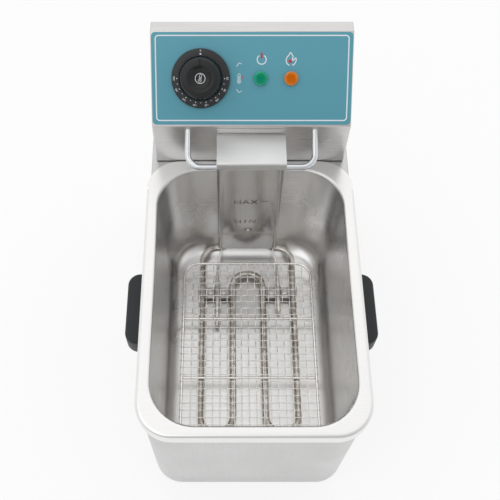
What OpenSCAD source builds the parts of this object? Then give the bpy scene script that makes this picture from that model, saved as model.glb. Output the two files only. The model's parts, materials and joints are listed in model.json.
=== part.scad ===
// Countertop deep fryer with a lift-out oil pan and a lift-off control head.
// Millimetres. X is the width, the front faces -Y, +Z is up.
// The origin is on the ground under the middle of the overall box.

/* [Housing] */
// Outer width of the housing
housing_w = 203; // [195:1:230]
// Outer depth of the housing, front face to back
housing_d = 364; // [352:1:400]
// Height of the housing from its bottom edge to the deck
housing_h = 195; // [185:1:230]
// Sheet thickness of the housing
housing_wall = 1; // [0.8:0.1:1.4]
// Outer radius of the two front corners
front_corner_r = 30; // [22:1:36]
// Outer radius of the two rear corners
rear_corner_r = 6; // [4:1:12]
// Width of the fold around the bottom edge
return_w = 12; // [10:1:16]
// Thickness of the base plate
base_wall = 1; // [0.8:0.1:1.6]
// How far the base plate stays inside the housing's outline
base_inset = 2; // [1.5:0.5:4]
// Length of one vent slot in the base
base_slot_l = 50; // [30:1:60]
// Width of one vent slot in the base
base_slot_w = 4; // [3:0.5:6]
// Vent slots in each of the two rows
base_slots = 8; // [4:1:10]

/* [Feet] */
// Height of a rubber foot
foot_h = 8; // [6:0.5:12]
// Radius of a rubber foot
foot_r = 11; // [9:0.5:14]
// Distance of a foot's centre from the housing's side
foot_in_x = 30; // [26:1:40]
// Distance of a foot's centre from the housing's front or back
foot_in_y = 40; // [32:1:50]
// Shank radius of a foot screw
foot_screw_r = 2; // [1.5:0.1:2.5]

/* [Oil pan] */
// Flange width at the sides, housing side to pan wall
flange_side = 8.9; // [8:0.1:12]
// Flange width at the front, housing front to pan wall
flange_front = 7.8; // [7:0.1:12]
// Inside height of the pan, rim to floor
pan_h = 150; // [148:1:165]
// Inside corner radius of the pan at the rim
pan_corner_r = 41; // [34:1:46]
// Radius between the walls and the floor
pan_floor_r = 18; // [12:1:20]
// Slope of the pan walls in degrees
pan_draft = 2.5; // [1:0.1:3]
// Sheet thickness of the pan
pan_wall = 1; // [0.8:0.1:1.2]
// Bend radius between pan wall and flange
rim_r = 3; // [2:0.1:4]
// Gap between the housing's side and the turned-down lip
lip_gap = 2.5; // [1.5:0.1:3.5]
// Height of the turned-down lip
lip_h = 14; // [9:0.5:18]
// Bend radius between flange and lip
lip_r = 3.5; // [2:0.1:4]
// Outer corner radius of the flange
flange_corner_r = 33.5; // [28:0.5:38]
// Gap between the flange's rear edge and the control head
flange_rear_gap = 1; // [0.5:0.1:2]

/* [Side handles] */
// Length of a side handle
handle_l = 75; // [65:1:100]
// How far a handle stands out from the housing
handle_out = 21; // [19:0.5:28]
// Height of a handle
handle_h = 25; // [22:1:32]
// Distance of a handle's top below the rim
handle_drop = 35; // [28:1:60]
// Distance of a handle's front end behind the housing front
handle_front = 97; // [80:1:120]
// Corner radius of a handle seen from above
handle_r = 12; // [8:0.5:14]
// Width of the finger pocket, wall to wall
pocket_w = 12; // [10:0.5:13]
// Thickness of a handle's outer wall
handle_wall = 4; // [3:0.5:5]
// Thickness of a handle's top
handle_top = 6; // [4:0.5:8]
// Shank radius of a handle screw
handle_screw_r = 2; // [1.5:0.1:2.4]
// Distance of a handle screw from the handle's end
handle_screw_in = 15; // [13:1:24]

/* [Control head] */
// Depth of the control head, front face to back cover
head_d = 79; // [77:0.1:95]
// How far the head's sides stay inside the housing's sides
head_inset = 4.8; // [4:0.1:8]
// Distance from the pan's rear wall to the head's front face
head_setback = 12.4; // [11:0.1:16]
// Height of the head's vertical front face above the rim
head_face_h = 56.5; // [54:0.5:70]
// Height of the head's top above the rim
head_h = 115.3; // [108:0.1:130]
// Depth of the head's flat top
head_top_d = 12; // [8:0.5:18]
// Sheet thickness of the head
head_wall = 1; // [0.8:0.1:1.2]
// Thickness of the head's floor plate
head_floor_wall = 1.5; // [1.2:0.1:2]
// Height of the folds around the head's floor
floor_fold = 14; // [10:0.5:16]
// Height of the shadow gap under the head's front edge
shadow_gap = 1.6; // [1.2:0.1:2.5]
// Width of the folds that carry the back cover
cover_fold = 9; // [8:0.5:12]
// Thickness of the back cover
cover_wall = 1.2; // [1:0.1:1.5]
// Shank radius of a cover screw
cover_screw_r = 1.5; // [1.2:0.1:1.8]
// X of the middle of a row of vent slots
vent_x = 26; // [22:1:30]
// Length of a vent slot
vent_l = 36; // [28:1:40]
// Height of a vent slot
vent_h = 3; // [2:0.5:4]
// Pitch of the vent slots
vent_pitch = 6; // [5:0.5:8]

/* [Fascia] */
// Thickness of the fascia panel
fascia_wall = 0.8; // [0.5:0.1:1.2]
// Margin between the fascia and the head's sides
fascia_side = 0.9; // [0.5:0.1:3]
// Margin below the fascia
fascia_low = 1.8; // [1:0.1:4]
// Margin above the fascia
fascia_high = 0.8; // [0.5:0.1:3]
// Corner radius of the fascia
fascia_r = 4; // [2:0.5:6]
// Distance of the line of controls up the slope
control_s = 45.4; // [42:0.5:48]

/* [Thermostat and knob] */
// Distance of the knob's axis from the housing's left side
knob_in = 52.7; // [46:0.1:57]
// Radius of the dial ring
dial_r = 27.9; // [26:0.1:31]
// Height of the dial ring above the fascia
dial_h = 6; // [4:0.1:8]
// Radius of the knob's grip
grip_r = 19.8; // [18:0.1:22]
// Height of the knob's top above the casing
grip_h = 24; // [20:0.5:28]
// Radial gap between grip and dial ring
dial_gap = 0.6; // [0.4:0.1:1]
// Gap between the grip's underside and the screw heads
grip_lift = 3.4; // [3:0.1:4]
// Radius of the round recess in the knob's top
recess_r = 10.8; // [10:0.1:14]
// Radius of the thermostat's shaft
shaft_r = 3; // [2.5:0.1:3.5]
// Radial running clearance of the shaft in its bush
shaft_gap = 0.06; // [0.03:0.01:0.09]
// Width of the thermostat's body
stat_w = 40; // [34:1:46]
// Height of the thermostat's body along the slope
stat_l = 34; // [28:1:36]
// Depth of the thermostat's body
stat_h = 28; // [22:1:30]
// Radius of the thermostat's bush
bush_r = 5; // [4.5:0.1:6]
// Distance of a thermostat screw from the shaft
stat_screw_x = 14; // [12:0.5:15]
// Shank radius of a thermostat screw
stat_screw_r = 1.5; // [1.2:0.1:1.8]

/* [Pilot lamps] */
// Distance of the orange lamp from the housing's right side
lamp_in = 64; // [57:0.1:70]
// Distance between the two lamps, centre to centre
lamp_pitch = 29.2; // [26:0.1:32]
// Radius of a lens
lens_r = 6.75; // [6:0.05:8]
// Height of a lens above the fascia
lens_h = 4; // [3:0.1:6]
// Radius of a lens's shank
lens_shank_r = 4.6; // [4:0.1:5]
// Radius of a lamp holder
holder_r = 5.8; // [5.4:0.1:7]
// Length of a lamp holder
holder_l = 20; // [15:1:22]

/* [Element arm] */
// Width of the arm
arm_w = 67.6; // [62:0.1:72]
// Depth of the arm's leg
arm_t = 9.4; // [9.2:0.1:11]
// Sheet thickness of the arm
arm_wall = 1; // [0.8:0.1:1.1]
// Gap between the arm's leg and the pan's rear wall
arm_gap = 2.7; // [1.5:0.1:3]
// Height of the arm's top wall above the rim
arm_top = 45; // [42:0.5:48]
// Height of the arm's level part
arm_box_h = 20; // [16:0.5:22]
// Depth of the arm's lower end below the rim
arm_drop = 134; // [130:0.5:136]
// How far the arm reaches into the head
arm_in = 9; // [7:0.5:12]
// Width of the arm's flanges inside the head
arm_flange = 8; // [6:0.5:10]
// Gap between the top plate's lip and the basket rail behind it
lip_clear = 0.5; // [0.3:0.1:1]
// Height of the top plate's front lip
plate_lip = 9; // [8:0.1:11]
// Groove between the top plate and the upstand
plate_groove = 1.2; // [0.8:0.1:2]
// Height of the upstand in front of the head
upstand_h = 8; // [6:0.1:9]
// Head radius of the rivet in the leg's front
arm_rivet_r = 3.6; // [3:0.1:4.2]
// Height of that rivet above the leg's lower end
arm_rivet_up = 41; // [24:1:60]

/* [Basket rail] */
// Wire diameter of the basket rail
rail_t = 6; // [5:0.1:6.5]
// Distance between the rail's two legs, centre to centre
rail_span = 124; // [110:1:140]
// Distance from the head's front face to the rail's front run
rail_reach = 33; // [31:0.1:33.5]
// Height of the front run above the rim
rail_h = 35.2; // [33.5:0.1:37]
// Height above the rim at which the rail enters the head
rail_in_h = 49; // [46:0.1:49.8]
// Bend radius of the rail's corners
rail_r = 13; // [10:0.5:16]
// Length of the rail's ends inside the head
rail_in = 12; // [10:0.5:16]
// Outer radius of a rail nut
rail_nut_r = 5.5; // [5:0.1:6]

/* [Heating element] */
// Tube diameter of the element
tube_t = 7; // [6:0.1:7.2]
// Distance between neighbouring runs of the element
tube_pitch = 34.8; // [32:0.1:37]
// Depth of the element's plane below the rim
element_drop = 141; // [140:0.1:142]
// Distance of the front turns behind the pan's front wall
element_front = 32; // [24:1:50]
// Distance of the rear arch in front of the pan's rear wall
arch_rear = 47.6; // [40:0.1:56]
// Bend radius where the element enters the arm
entry_r = 9; // [8.5:0.1:9.2]
// Bend radius of the two rear corners of the element
sweep_r = 18; // [15:0.1:18.5]
// X of the element's tails inside the arm
tail_x = 24; // [23.5:0.1:24.5]
// Length of the element's tails inside the head
tail_in = 19; // [16:1:22]
// Width of a terminal blade
blade_w = 6.3; // [4.8:0.1:6.4]
// Length of a terminal blade
blade_l = 9; // [8:0.5:11]

/* [Bulbs and clamps] */
// Diameter of a sensing bulb
bulb_t = 5; // [4:0.1:5.5]
// Length of the thermostat's bulb
stat_bulb_l = 54; // [40:1:63]
// Length of the limiter's bulb
limit_bulb_l = 37; // [30:1:54]
// Length of a bulb's tapered rear end
bulb_taper = 16; // [8:0.5:18]
// Distance of the bulbs' rear ends in front of the pan's rear wall
bulb_rear = 60; // [58:1:63]
// Diameter of a capillary
capillary_t = 2; // [1.5:0.1:2.2]
// X of a capillary inside the arm
capillary_x = 30; // [29.7:0.1:31]
// Width of a clamp along the tubes
clamp_w = 13; // [10:0.5:16]
// Thickness of the clamp strip
clamp_wall = 1; // [0.8:0.1:1.2]
// Distance of the clamps in front of the pan's rear wall
clamp_rear = 71.8; // [71.6:0.1:80]
// Distance of a clamp screw from the bulb
clamp_screw_x = 7.2; // [6.8:0.1:8]
// Shank radius of a clamp screw
clamp_screw_r = 1.7; // [1.2:0.1:1.7]

/* [Grid] */
// Width of the grid frame, wire centre to wire centre
grid_w = 144.4; // [135:0.1:150]
// Distance of the frame's front wire behind the pan's front wall
grid_front = 20.2; // [15:0.1:26]
// Distance of the frame's rear wire in front of the pan's rear wall
grid_rear = 38.6; // [32:0.1:50]
// Diameter of the frame wire and the bars
frame_t = 3; // [2.5:0.1:3.5]
// Corner radius of the frame
grid_r = 16; // [12:0.5:22]
// Diameter of the woven wires
wire_t = 1; // [0.8:0.05:1.2]
// Pitch of the woven wires
wire_pitch = 7.8; // [6:0.1:12]
// Gap between crossing wires
wire_gap = 0.05; // [0.02:0.01:0.1]
// Position of the front bar, as a distance behind the frame's front wire
bar_front = 69; // [55:1:80]
// Position of the rear bar, as a distance in front of the frame's rear wire
bar_rear = 68; // [60:1:76]
// Gap between the bars and the element they lie on
rest_gap = 0.3; // [0.2:0.05:0.4]

/* [Docking bracket] */
// Distance of a docking ear from the housing's side
ear_in = 11; // [10.5:0.1:13.5]
// Sheet thickness of the bracket
ear_wall = 1.2; // [1:0.1:1.5]
// Height of the ears above the deck
ear_h = 26; // [22:0.5:30]
// Distance of the ears behind the head's front face
ear_front = 4; // [3:0.5:6]
// Length of the ears, front to back
ear_l = 54; // [48:1:60]
// Gap around an ear in its slot
ear_gap = 0.4; // [0.3:0.05:0.6]
// Length of the switch tab along the ear
tab_l = 12; // [10:1:14]
// Reach of the switch tab from the ear
tab_w = 10; // [9:0.5:11]
// Rim of the bracket's plate in front of its window and behind it
bracket_rim = 10; // [9:0.5:14]
// Width of the bracket's plate between an ear and its window
bracket_plate = 30; // [26:1:40]
// Radius of a bracket rivet
rivet_r = 2; // [1.5:0.1:2.5]

/* [Interlock switch] */
// Width of the switch body
switch_w = 10; // [8:0.5:11]
// Length of the switch body
switch_l = 28; // [24:1:32]
// Height of the switch body
switch_h = 16; // [13:0.5:18]
// Radius of the switch plunger
plunger_r = 1.5; // [1.2:0.1:2]
// Travel of the switch plunger
plunger_travel = 1.5; // [1:0.1:2]

/* [High-limit cut-out] */
// Distance of the cut-out's axis from the housing's right side
limit_in = 55.5; // [50:0.5:62]
// Height of the cut-out's axis above the rim
limit_z = 39; // [34:0.5:44]
// Width of the cut-out's body
limit_w = 34; // [28:1:36]
// Depth of the cut-out's body
limit_l = 22; // [18:1:24]
// Radius of the reset collar
collar_r = 7; // [6:0.1:9]
// How far the collar stands out from the cover
collar_out = 6; // [5:0.5:8]
// Radius of the reset button
button_r = 3.5; // [3:0.1:4]
// Travel of the reset button
button_travel = 2.5; // [2:0.1:3]

/* [Cord gland and terminals] */
// Distance of the cord gland from the housing's left side
gland_in = 41.5; // [36:0.5:52]
// Height of the cord gland above the rim
gland_z = 22; // [20:0.5:30]
// Bore radius of the gland
gland_bore_r = 4.25; // [3.5:0.05:5]
// Radius of the gland's threaded part
gland_r = 8; // [7:0.1:9]
// Radius of the gland's head
gland_head_r = 11; // [10:0.1:13]
// How far the gland stands out from the cover
gland_out = 10; // [8:0.5:14]
// Width of the terminal block
terminal_w = 46; // [36:1:52]
// Depth of the terminal block
terminal_l = 17; // [14:0.5:20]
// Height of the terminal block
terminal_h = 18; // [14:0.5:20]

/* [Hidden] */
$fn = 48;
EPS = 0.01;
// Gap between a bend and its straight, and how much wider the sleeve around them is
JOIN = 0.1;
// Distances from front to back, counted from the housing's front face
head_front = housing_d - head_d;
pan_back = head_front - head_setback;
pan_d = pan_back - flange_front;
lip_front = -(lip_gap + pan_wall);
overall_back = housing_d + gland_out;
middle = (lip_front + overall_back) / 2;
// Heights, rim_z is the top of the pan's flange
housing_bottom = foot_h + base_wall;
deck_z = housing_bottom + housing_h;
rim_z = deck_z + pan_wall;
head_low = rim_z - pan_wall + shadow_gap;
// A place given as x, distance behind the front and height above the rim
function at(x, d, h) = [x, d - middle, rim_z + h];
function yd(d) = d - middle;
function unit(v) = v / norm(v);

pan_w = housing_w - 2 * flange_side;
knob_x = knob_in - housing_w / 2;
orange_x = housing_w / 2 - lamp_in;
green_x = orange_x - lamp_pitch;
ear_x = housing_w / 2 - ear_in;
limit_x = housing_w / 2 - limit_in;
gland_x = gland_in - housing_w / 2;
pan_mid = flange_front + pan_d / 2;
flange_w = housing_w + 2 * (lip_gap + pan_wall);
flange_back = head_front - flange_rear_gap;
flange_l = flange_back - lip_front;
flange_mid = (flange_back + lip_front) / 2;
hole_grow = rim_r + 0.4;

head_w = housing_w - 2 * head_inset;
head_back = housing_d;
slope_rise = head_h - head_face_h;
slope_run = head_back - head_top_d - head_front;
slope_a = atan2(slope_rise, slope_run);
slope_l = norm([slope_rise, slope_run]);
cover_front = head_back - cover_wall;
cover_low = head_low - rim_z;
fascia_hole_r = grip_r - 1.5;
screw_head = 1.2;

// The arm's leg leans with the pan's wall
lean = tan(pan_draft);
leg_back = pan_back - arm_gap;
leg_front = leg_back - arm_t;
function leg_d(h) = leg_front + h * lean;
tube_in_leg = arm_t / 2;
plate_front = head_front - rail_reach - rail_t / 2 - lip_clear - arm_wall;
plate_z = arm_top + arm_wall;
tail_h = arm_top - arm_box_h / 2;
tail_back = head_front + tail_in;
flange_in = head_front + head_wall;

turn_d = flange_front + element_front;
arch_d = pan_back - arch_rear;
sweep_d = leg_d(-element_drop) + tube_in_leg;
outer_x = 1.5 * tube_pitch;
inner_x = 0.5 * tube_pitch;
bulb_x = tube_pitch;
clamp_d = pan_back - clamp_rear;
bulb_back = pan_back - bulb_rear;

grid_d0 = flange_front + grid_front;
grid_d1 = pan_back - grid_rear;
grid_l = grid_d1 - grid_d0;
grid_mid = (grid_d0 + grid_d1) / 2;
layer = (wire_t + wire_gap) / 2;
bar_h = -element_drop + tube_t / 2 + rest_gap + frame_t / 2;
mesh_h = bar_h + frame_t / 2 + wire_gap + wire_t / 2 + layer;

ear_d0 = head_front + ear_front;
ear_mid = ear_d0 + ear_l / 2;
tab_x = ear_x - ear_wall / 2 - tab_w / 2;
tab_top = ear_h - pan_wall;
plunger_low = tab_top + 0.3;
switch_low = plunger_low + plunger_travel + 0.3;
switch_top = switch_low + switch_h;

// ---------- shared shapes ----------

// Draws its children in the frame with origin o and axes ex, ey, ez
module in_frame(o, ex, ey, ez) {
    multmatrix([
        [ex.x, ey.x, ez.x, o.x],
        [ex.y, ey.y, ez.y, o.y],
        [ex.z, ey.z, ez.z, o.z],
        [0, 0, 0, 1]
    ]) children();
}

// Round rod from p to q
module rod(p, q, t) {
    ez = unit(q - p);
    ex = unit(cross(ez, abs(ez.z) < 0.9 ? [0, 0, 1] : [1, 0, 0]));
    in_frame(p, ex, cross(ez, ex), ez) cylinder(d = t, h = norm(q - p));
}

// Length that a bend of radius r takes off each side of a corner
function bend_cut(a, b, c, r) = r * tan(acos(unit(b - a) * unit(c - b)) / 2);

// Torus piece that turns direction u into direction v at corner p
module bend(p, u, v, r, t) {
    turn = acos(u * v);
    n = unit(v - u * (u * v));
    centre = p - u * (r * tan(turn / 2)) + n * r;
    in_frame(centre, -n, u, cross(-n, u))
        rotate_extrude(angle = turn) translate([r, 0]) circle(d = t);
}

// Short sleeve around the joint at p between a straight rod and a bend
module sleeve(p, along, t) {
    rod(p - 0.3 * along, p + 0.3 * along, t + JOIN);
}

// Rod of diameter t through the points, with a bend radius for each inner corner.
// A thin sleeve joins each bend to the straight next to it.
module bent_rod(points, radii, t) {
    last = len(points) - 1;
    cuts = [for (i = [0:last]) i == 0 || i == last ? 0
        : bend_cut(points[i - 1], points[i], points[i + 1], radii[i - 1])];
    for (i = [0:last - 1]) {
        along = unit(points[i + 1] - points[i]);
        from = points[i] + along * cuts[i];
        to = points[i + 1] - along * cuts[i + 1];
        rod(from + along * (i == 0 ? 0 : JOIN), to - along * (i == last - 1 ? 0 : JOIN), t);
        if (i > 0) sleeve(from, along, t);
        if (i < last - 1) sleeve(to, along, t);
    }
    for (i = [1:last - 1])
        bend(points[i], unit(points[i] - points[i - 1]), unit(points[i + 1] - points[i]),
            radii[i - 1], t);
}

// Rectangle with round corners, centred
module round_rect(w, l, r) {
    square([w - 2 * r, l], center = true);
    square([w, l - 2 * r], center = true);
    for (x = [-1, 1], y = [-1, 1]) translate([x * (w / 2 - r), y * (l / 2 - r)]) circle(r = r);
}

// Sweeps a 2D profile around a rounded rectangle; the profile's x points outward.
// Sides and corners are numbered counter-clockwise from the right and the right rear.
module sweep_rect(w, l, r, sides = [0, 1, 2, 3], corners = [0, 1, 2, 3]) {
    for (k = sides) {
        out = k % 2 == 0 ? w / 2 : l / 2;
        run = (k % 2 == 0 ? l : w) - 2 * r;
        rotate(90 * k) translate([out, run / 2, 0]) rotate([90, 0, 0])
            linear_extrude(run) children();
    }
    for (k = corners) {
        sx = k == 0 || k == 3 ? 1 : -1;
        sy = k < 2 ? 1 : -1;
        translate([sx * (w / 2 - r), sy * (l / 2 - r), 0]) rotate(90 * k)
            rotate_extrude(angle = 90) translate([r, 0]) children();
    }
}

// Outline of the housing, shrunk by g; the front corners are larger than the rear ones
module housing_outline(g = 0) {
    w = housing_w - 2 * g;
    rf = front_corner_r - g;
    rr = max(rear_corner_r - g, 1);
    translate([-w / 2, g + rf]) square([w, housing_d - 2 * g - rf - rr]);
    translate([-w / 2 + rf, g]) square([w - 2 * rf, rf + EPS]);
    translate([-w / 2 + rr, housing_d - g - rr - EPS]) square([w - 2 * rr, rr + EPS]);
    for (x = [-1, 1]) {
        translate([x * (w / 2 - rf), g + rf]) circle(r = rf);
        translate([x * (w / 2 - rr), housing_d - g - rr]) circle(r = rr);
    }
}

// Draws its children on the head's slope: x across, y up the slope, z out of it
module on_slope(x, s) {
    translate(at(x, head_front, head_face_h)) rotate([slope_a, 0, 0])
        translate([0, s, 0]) children();
}

// Turns a (distance, height) profile into a solid of width w, centred on x
module side_extrude(w, x = 0) {
    translate([x - w / 2, -middle, rim_z]) rotate([90, 0, 90]) linear_extrude(w) children();
}

// Pan-head screw along +Z: the head is below z = 0, the shank above it
module screw_up(r, l, head = screw_head) {
    translate([0, 0, -head]) cylinder(r = 2 * r, h = head);
    cylinder(r = r, h = l);
}

// Box from the low corner to the high corner, in (x, distance, height) places
module block(x, d, h) {
    translate(at(x[0], d[0], h[0])) cube([x[1] - x[0], d[1] - d[0], h[1] - h[0]]);
}

// ---------- housing ----------

function foot_places() = [for (x = [-1, 1], d = [foot_in_y, housing_d - foot_in_y])
    [x * (housing_w / 2 - foot_in_x), yd(d)]];
base_screw_in = base_inset + return_w / 2;
function base_screw_places() = [for (x = [-1, 1], k = [0.3, 0.55, 0.8])
    [x * (housing_w / 2 - base_screw_in), yd(housing_d * k)]];
base_screw_r = 1.5;

module outer_housing() {
    color("gainsboro") difference() {
        translate([0, -middle, housing_bottom]) difference() {
            linear_extrude(housing_h) housing_outline();
            translate([0, 0, housing_wall]) linear_extrude(housing_h - 2 * housing_wall)
                housing_outline(housing_wall);
            translate([0, 0, -EPS]) linear_extrude(housing_wall + 2 * EPS)
                housing_outline(return_w);
        }
        translate([0, yd(pan_mid), deck_z - housing_wall - EPS])
            linear_extrude(housing_wall + 2 * EPS)
            round_rect(pan_w + 2 * hole_grow, pan_d + 2 * hole_grow, pan_corner_r + hole_grow);
        for (x = [-1, 1])
            translate([x * ear_x, yd(ear_mid), deck_z])
                cube([ear_wall + 2 * ear_gap, ear_l + 2 * ear_gap, 4 * housing_wall], center = true);
        for (p = base_screw_places())
            translate([p.x, p.y, housing_bottom - EPS]) cylinder(r = base_screw_r + 0.05, h = 4);
        for (x = [-1, 1], d = handle_screw_places())
            translate([x * housing_w / 2, yd(d), handle_screw_z]) rotate([0, 90, 0])
                cylinder(r = handle_screw_r + 0.05, h = 4 * housing_wall, center = true);
        for (p = rivet_places())
            translate([p.x, p.y, deck_z - 2 * housing_wall])
                cylinder(r = rivet_r + 0.05, h = 4 * housing_wall);
    }
}

module base_plate() {
    color("silver") difference() {
        translate([0, -middle, foot_h]) linear_extrude(base_wall) housing_outline(base_inset);
        for (p = base_screw_places())
            translate([p.x, p.y, foot_h - EPS]) cylinder(r = base_screw_r + 0.2, h = 4);
        for (p = foot_places())
            translate([p.x, p.y, foot_h - EPS]) cylinder(r = foot_screw_r + 0.1, h = 4);
        for (x = [-1, 1], i = [0:base_slots - 1])
            translate([x * (base_slot_l / 2 + 8), (i - (base_slots - 1) / 2) * 3.5 * base_slot_w,
                foot_h])
                cube([base_slot_l, base_slot_w, 4 * base_wall], center = true);
    }
}

module base_screws() {
    color("dimgray") for (p = base_screw_places())
        translate([p.x, p.y, foot_h]) screw_up(base_screw_r, base_wall + housing_wall + 3);
}

foot_recess = 4;
module rubber_feet() {
    color([0.1, 0.1, 0.1]) for (p = foot_places()) translate([p.x, p.y, 0]) difference() {
        union() {
            cylinder(r1 = foot_r - 1, r2 = foot_r, h = 1.5);
            translate([0, 0, 1.5]) cylinder(r = foot_r, h = foot_h - 1.5);
        }
        translate([0, 0, -EPS]) cylinder(r = 2 * foot_screw_r + 1, h = foot_recess + EPS);
        cylinder(r = foot_screw_r + 0.1, h = foot_h + 1);
    }
}

module foot_screws() {
    color("dimgray") for (p = foot_places())
        translate([p.x, p.y, foot_recess]) screw_up(foot_screw_r, foot_h - foot_recess + base_wall + 3);
}

function handle_screw_places() = [handle_front + handle_screw_in,
    handle_front + handle_l - handle_screw_in];
handle_screw_z = rim_z - handle_drop - handle_h / 2;
pocket_x = handle_out - handle_wall - pocket_w;

// The right handle; the left one is its mirror image
module side_handle() {
    r = handle_r;
    color([0.13, 0.14, 0.15])
    translate([housing_w / 2, yd(handle_front), rim_z - handle_drop - handle_h]) difference() {
        linear_extrude(handle_h) intersection() {
            translate([handle_out - 2 * r - 2, handle_l / 2]) round_rect(4 * r + 4, handle_l, r);
            square([handle_out, handle_l]);
        }
        translate([pocket_x, handle_wall + 3, -EPS])
            cube([pocket_w, handle_l - 2 * (handle_wall + 3), handle_h - handle_top]);
        for (d = [handle_screw_in, handle_l - handle_screw_in])
            translate([-EPS, d, handle_h / 2]) rotate([0, 90, 0])
                cylinder(r = handle_screw_r + 0.05, h = pocket_x + 2 * EPS);
    }
}
module side_handle_right() { side_handle(); }
module side_handle_left() { mirror([1, 0, 0]) side_handle(); }

module handle_screws() {
    color("silver") for (x = [0, 1], d = handle_screw_places())
        mirror([x, 0, 0]) translate([housing_w / 2 - housing_wall, yd(d), handle_screw_z])
            rotate([0, 90, 0]) screw_up(handle_screw_r, housing_wall + pocket_x - 0.5);
}

// ---------- docking bracket ----------

function rivet_places() = [for (x = [-1, 1], y = [-1, 1])
    [x * (ear_x - 0.55 * bracket_plate), yd(ear_mid) + y * (ear_l / 2 - 8)]];

module docking_bracket() {
    low = deck_z - housing_wall - ear_wall;
    color("silver") difference() {
        union() {
            translate([0, yd(ear_mid), low + ear_wall / 2])
                cube([2 * ear_x + ear_wall, ear_l, ear_wall], center = true);
            for (x = [-1, 1])
                translate([x * ear_x - ear_wall / 2, yd(ear_d0), low])
                    cube([ear_wall, ear_l, deck_z + ear_h - low]);
            translate([tab_x - tab_w / 2, yd(ear_mid) - tab_l / 2, deck_z + ear_h - ear_wall])
                cube([tab_w + ear_wall / 2, tab_l, ear_wall]);
        }
        for (p = rivet_places())
            translate([p.x, p.y, low - EPS]) cylinder(r = rivet_r + 0.05, h = 2 * ear_wall);
        translate([0, yd(ear_mid), low])
            cube([2 * (ear_x - bracket_plate), ear_l - 2 * bracket_rim, 4 * ear_wall], center = true);
    }
}

module bracket_rivets() {
    low = deck_z - housing_wall - ear_wall;
    color("silver") for (p = rivet_places()) translate([p.x, p.y, 0]) {
        translate([0, 0, low]) cylinder(r = rivet_r, h = deck_z - low - 0.1);
        translate([0, 0, low - 1.2]) cylinder(r = 1.8 * rivet_r, h = 1.2);
    }
}

// ---------- oil pan ----------

// Half section of the pan's inside, grown by g; x is counted from the wall at the rim
module pan_section(g) {
    r = pan_floor_r + g;
    zc = -pan_h + pan_floor_r;
    xc = ((zc + rim_r) * sin(pan_draft) - pan_floor_r) / cos(pan_draft);
    wall_x = g / cos(pan_draft);
    translate([xc, zc]) circle(r = r, $fn = 96);
    polygon([
        [-pan_corner_r, -rim_r], [wall_x, -rim_r],
        [xc + r * cos(pan_draft), zc - r * sin(pan_draft)], [xc, zc],
        [xc, -pan_h - g], [-pan_corner_r, -pan_h - g]
    ]);
}

// Sheet between two quarter circles about the origin, from angle a to a + 90
module sheet_bend(r, a) {
    rotate(a) difference() {
        intersection() {
            circle(r = r);
            square(r);
        }
        circle(r = r - pan_wall);
    }
}

module pan_shell_section() {
    difference() {
        intersection() {
            pan_section(pan_wall);
            translate([-pan_corner_r, -pan_h - 2 * pan_wall]) square([2 * pan_corner_r,
                pan_h + 2 * pan_wall - rim_r]);
        }
        translate([-1, 0]) pan_section(0);
        pan_section(0);
    }
    translate([rim_r, -rim_r]) sheet_bend(rim_r, 90);
}

module oil_pan() {
    color("whitesmoke") {
        translate([0, yd(pan_mid), rim_z]) {
            sweep_rect(pan_w, pan_d, pan_corner_r) pan_shell_section();
            translate([0, 0, -pan_h - pan_wall / 2])
                cube([pan_w - 2 * pan_corner_r, pan_d - 2 * pan_corner_r, pan_wall], center = true);
        }
        translate([0, 0, deck_z]) linear_extrude(pan_wall) difference() {
            translate([0, yd(flange_mid)]) union() {
                round_rect(flange_w - 2 * lip_r, flange_l - 2 * lip_r, flange_corner_r - lip_r);
                intersection() {
                    round_rect(flange_w, flange_l, flange_corner_r);
                    translate([-flange_w, flange_l / 2 - flange_corner_r])
                        square([2 * flange_w, flange_corner_r]);
                }
            }
            translate([0, yd(pan_mid)])
                round_rect(pan_w + 2 * rim_r, pan_d + 2 * rim_r, pan_corner_r + rim_r);
        }
        translate([0, yd(flange_mid), rim_z])
            sweep_rect(flange_w, flange_l, flange_corner_r, [0, 2, 3], [2, 3]) {
                translate([-lip_r, -lip_r]) sheet_bend(lip_r, 0);
                translate([-pan_wall, -lip_h]) square([pan_wall, lip_h - lip_r]);
            }
    }
}

// ---------- control head ----------

// Outline of the head seen from the side, shrunk by g at the front, slope and top
module head_outline(g) {
    polygon([
        [head_front + g, cover_low], [head_front + g, head_face_h - g * tan(slope_a / 2)],
        [head_back - head_top_d + g * tan(slope_a / 2), head_h - g],
        [head_back, head_h - g], [head_back, cover_low]
    ]);
}

function cover_screw_places() = [for (x = [-1, 1], k = [0.12, 0.5, 0.88])
    [x * (head_w / 2 - head_wall - cover_fold / 2), k * head_h]];
rail_a = atan2(rail_in_h - rail_h, rail_reach);

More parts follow.
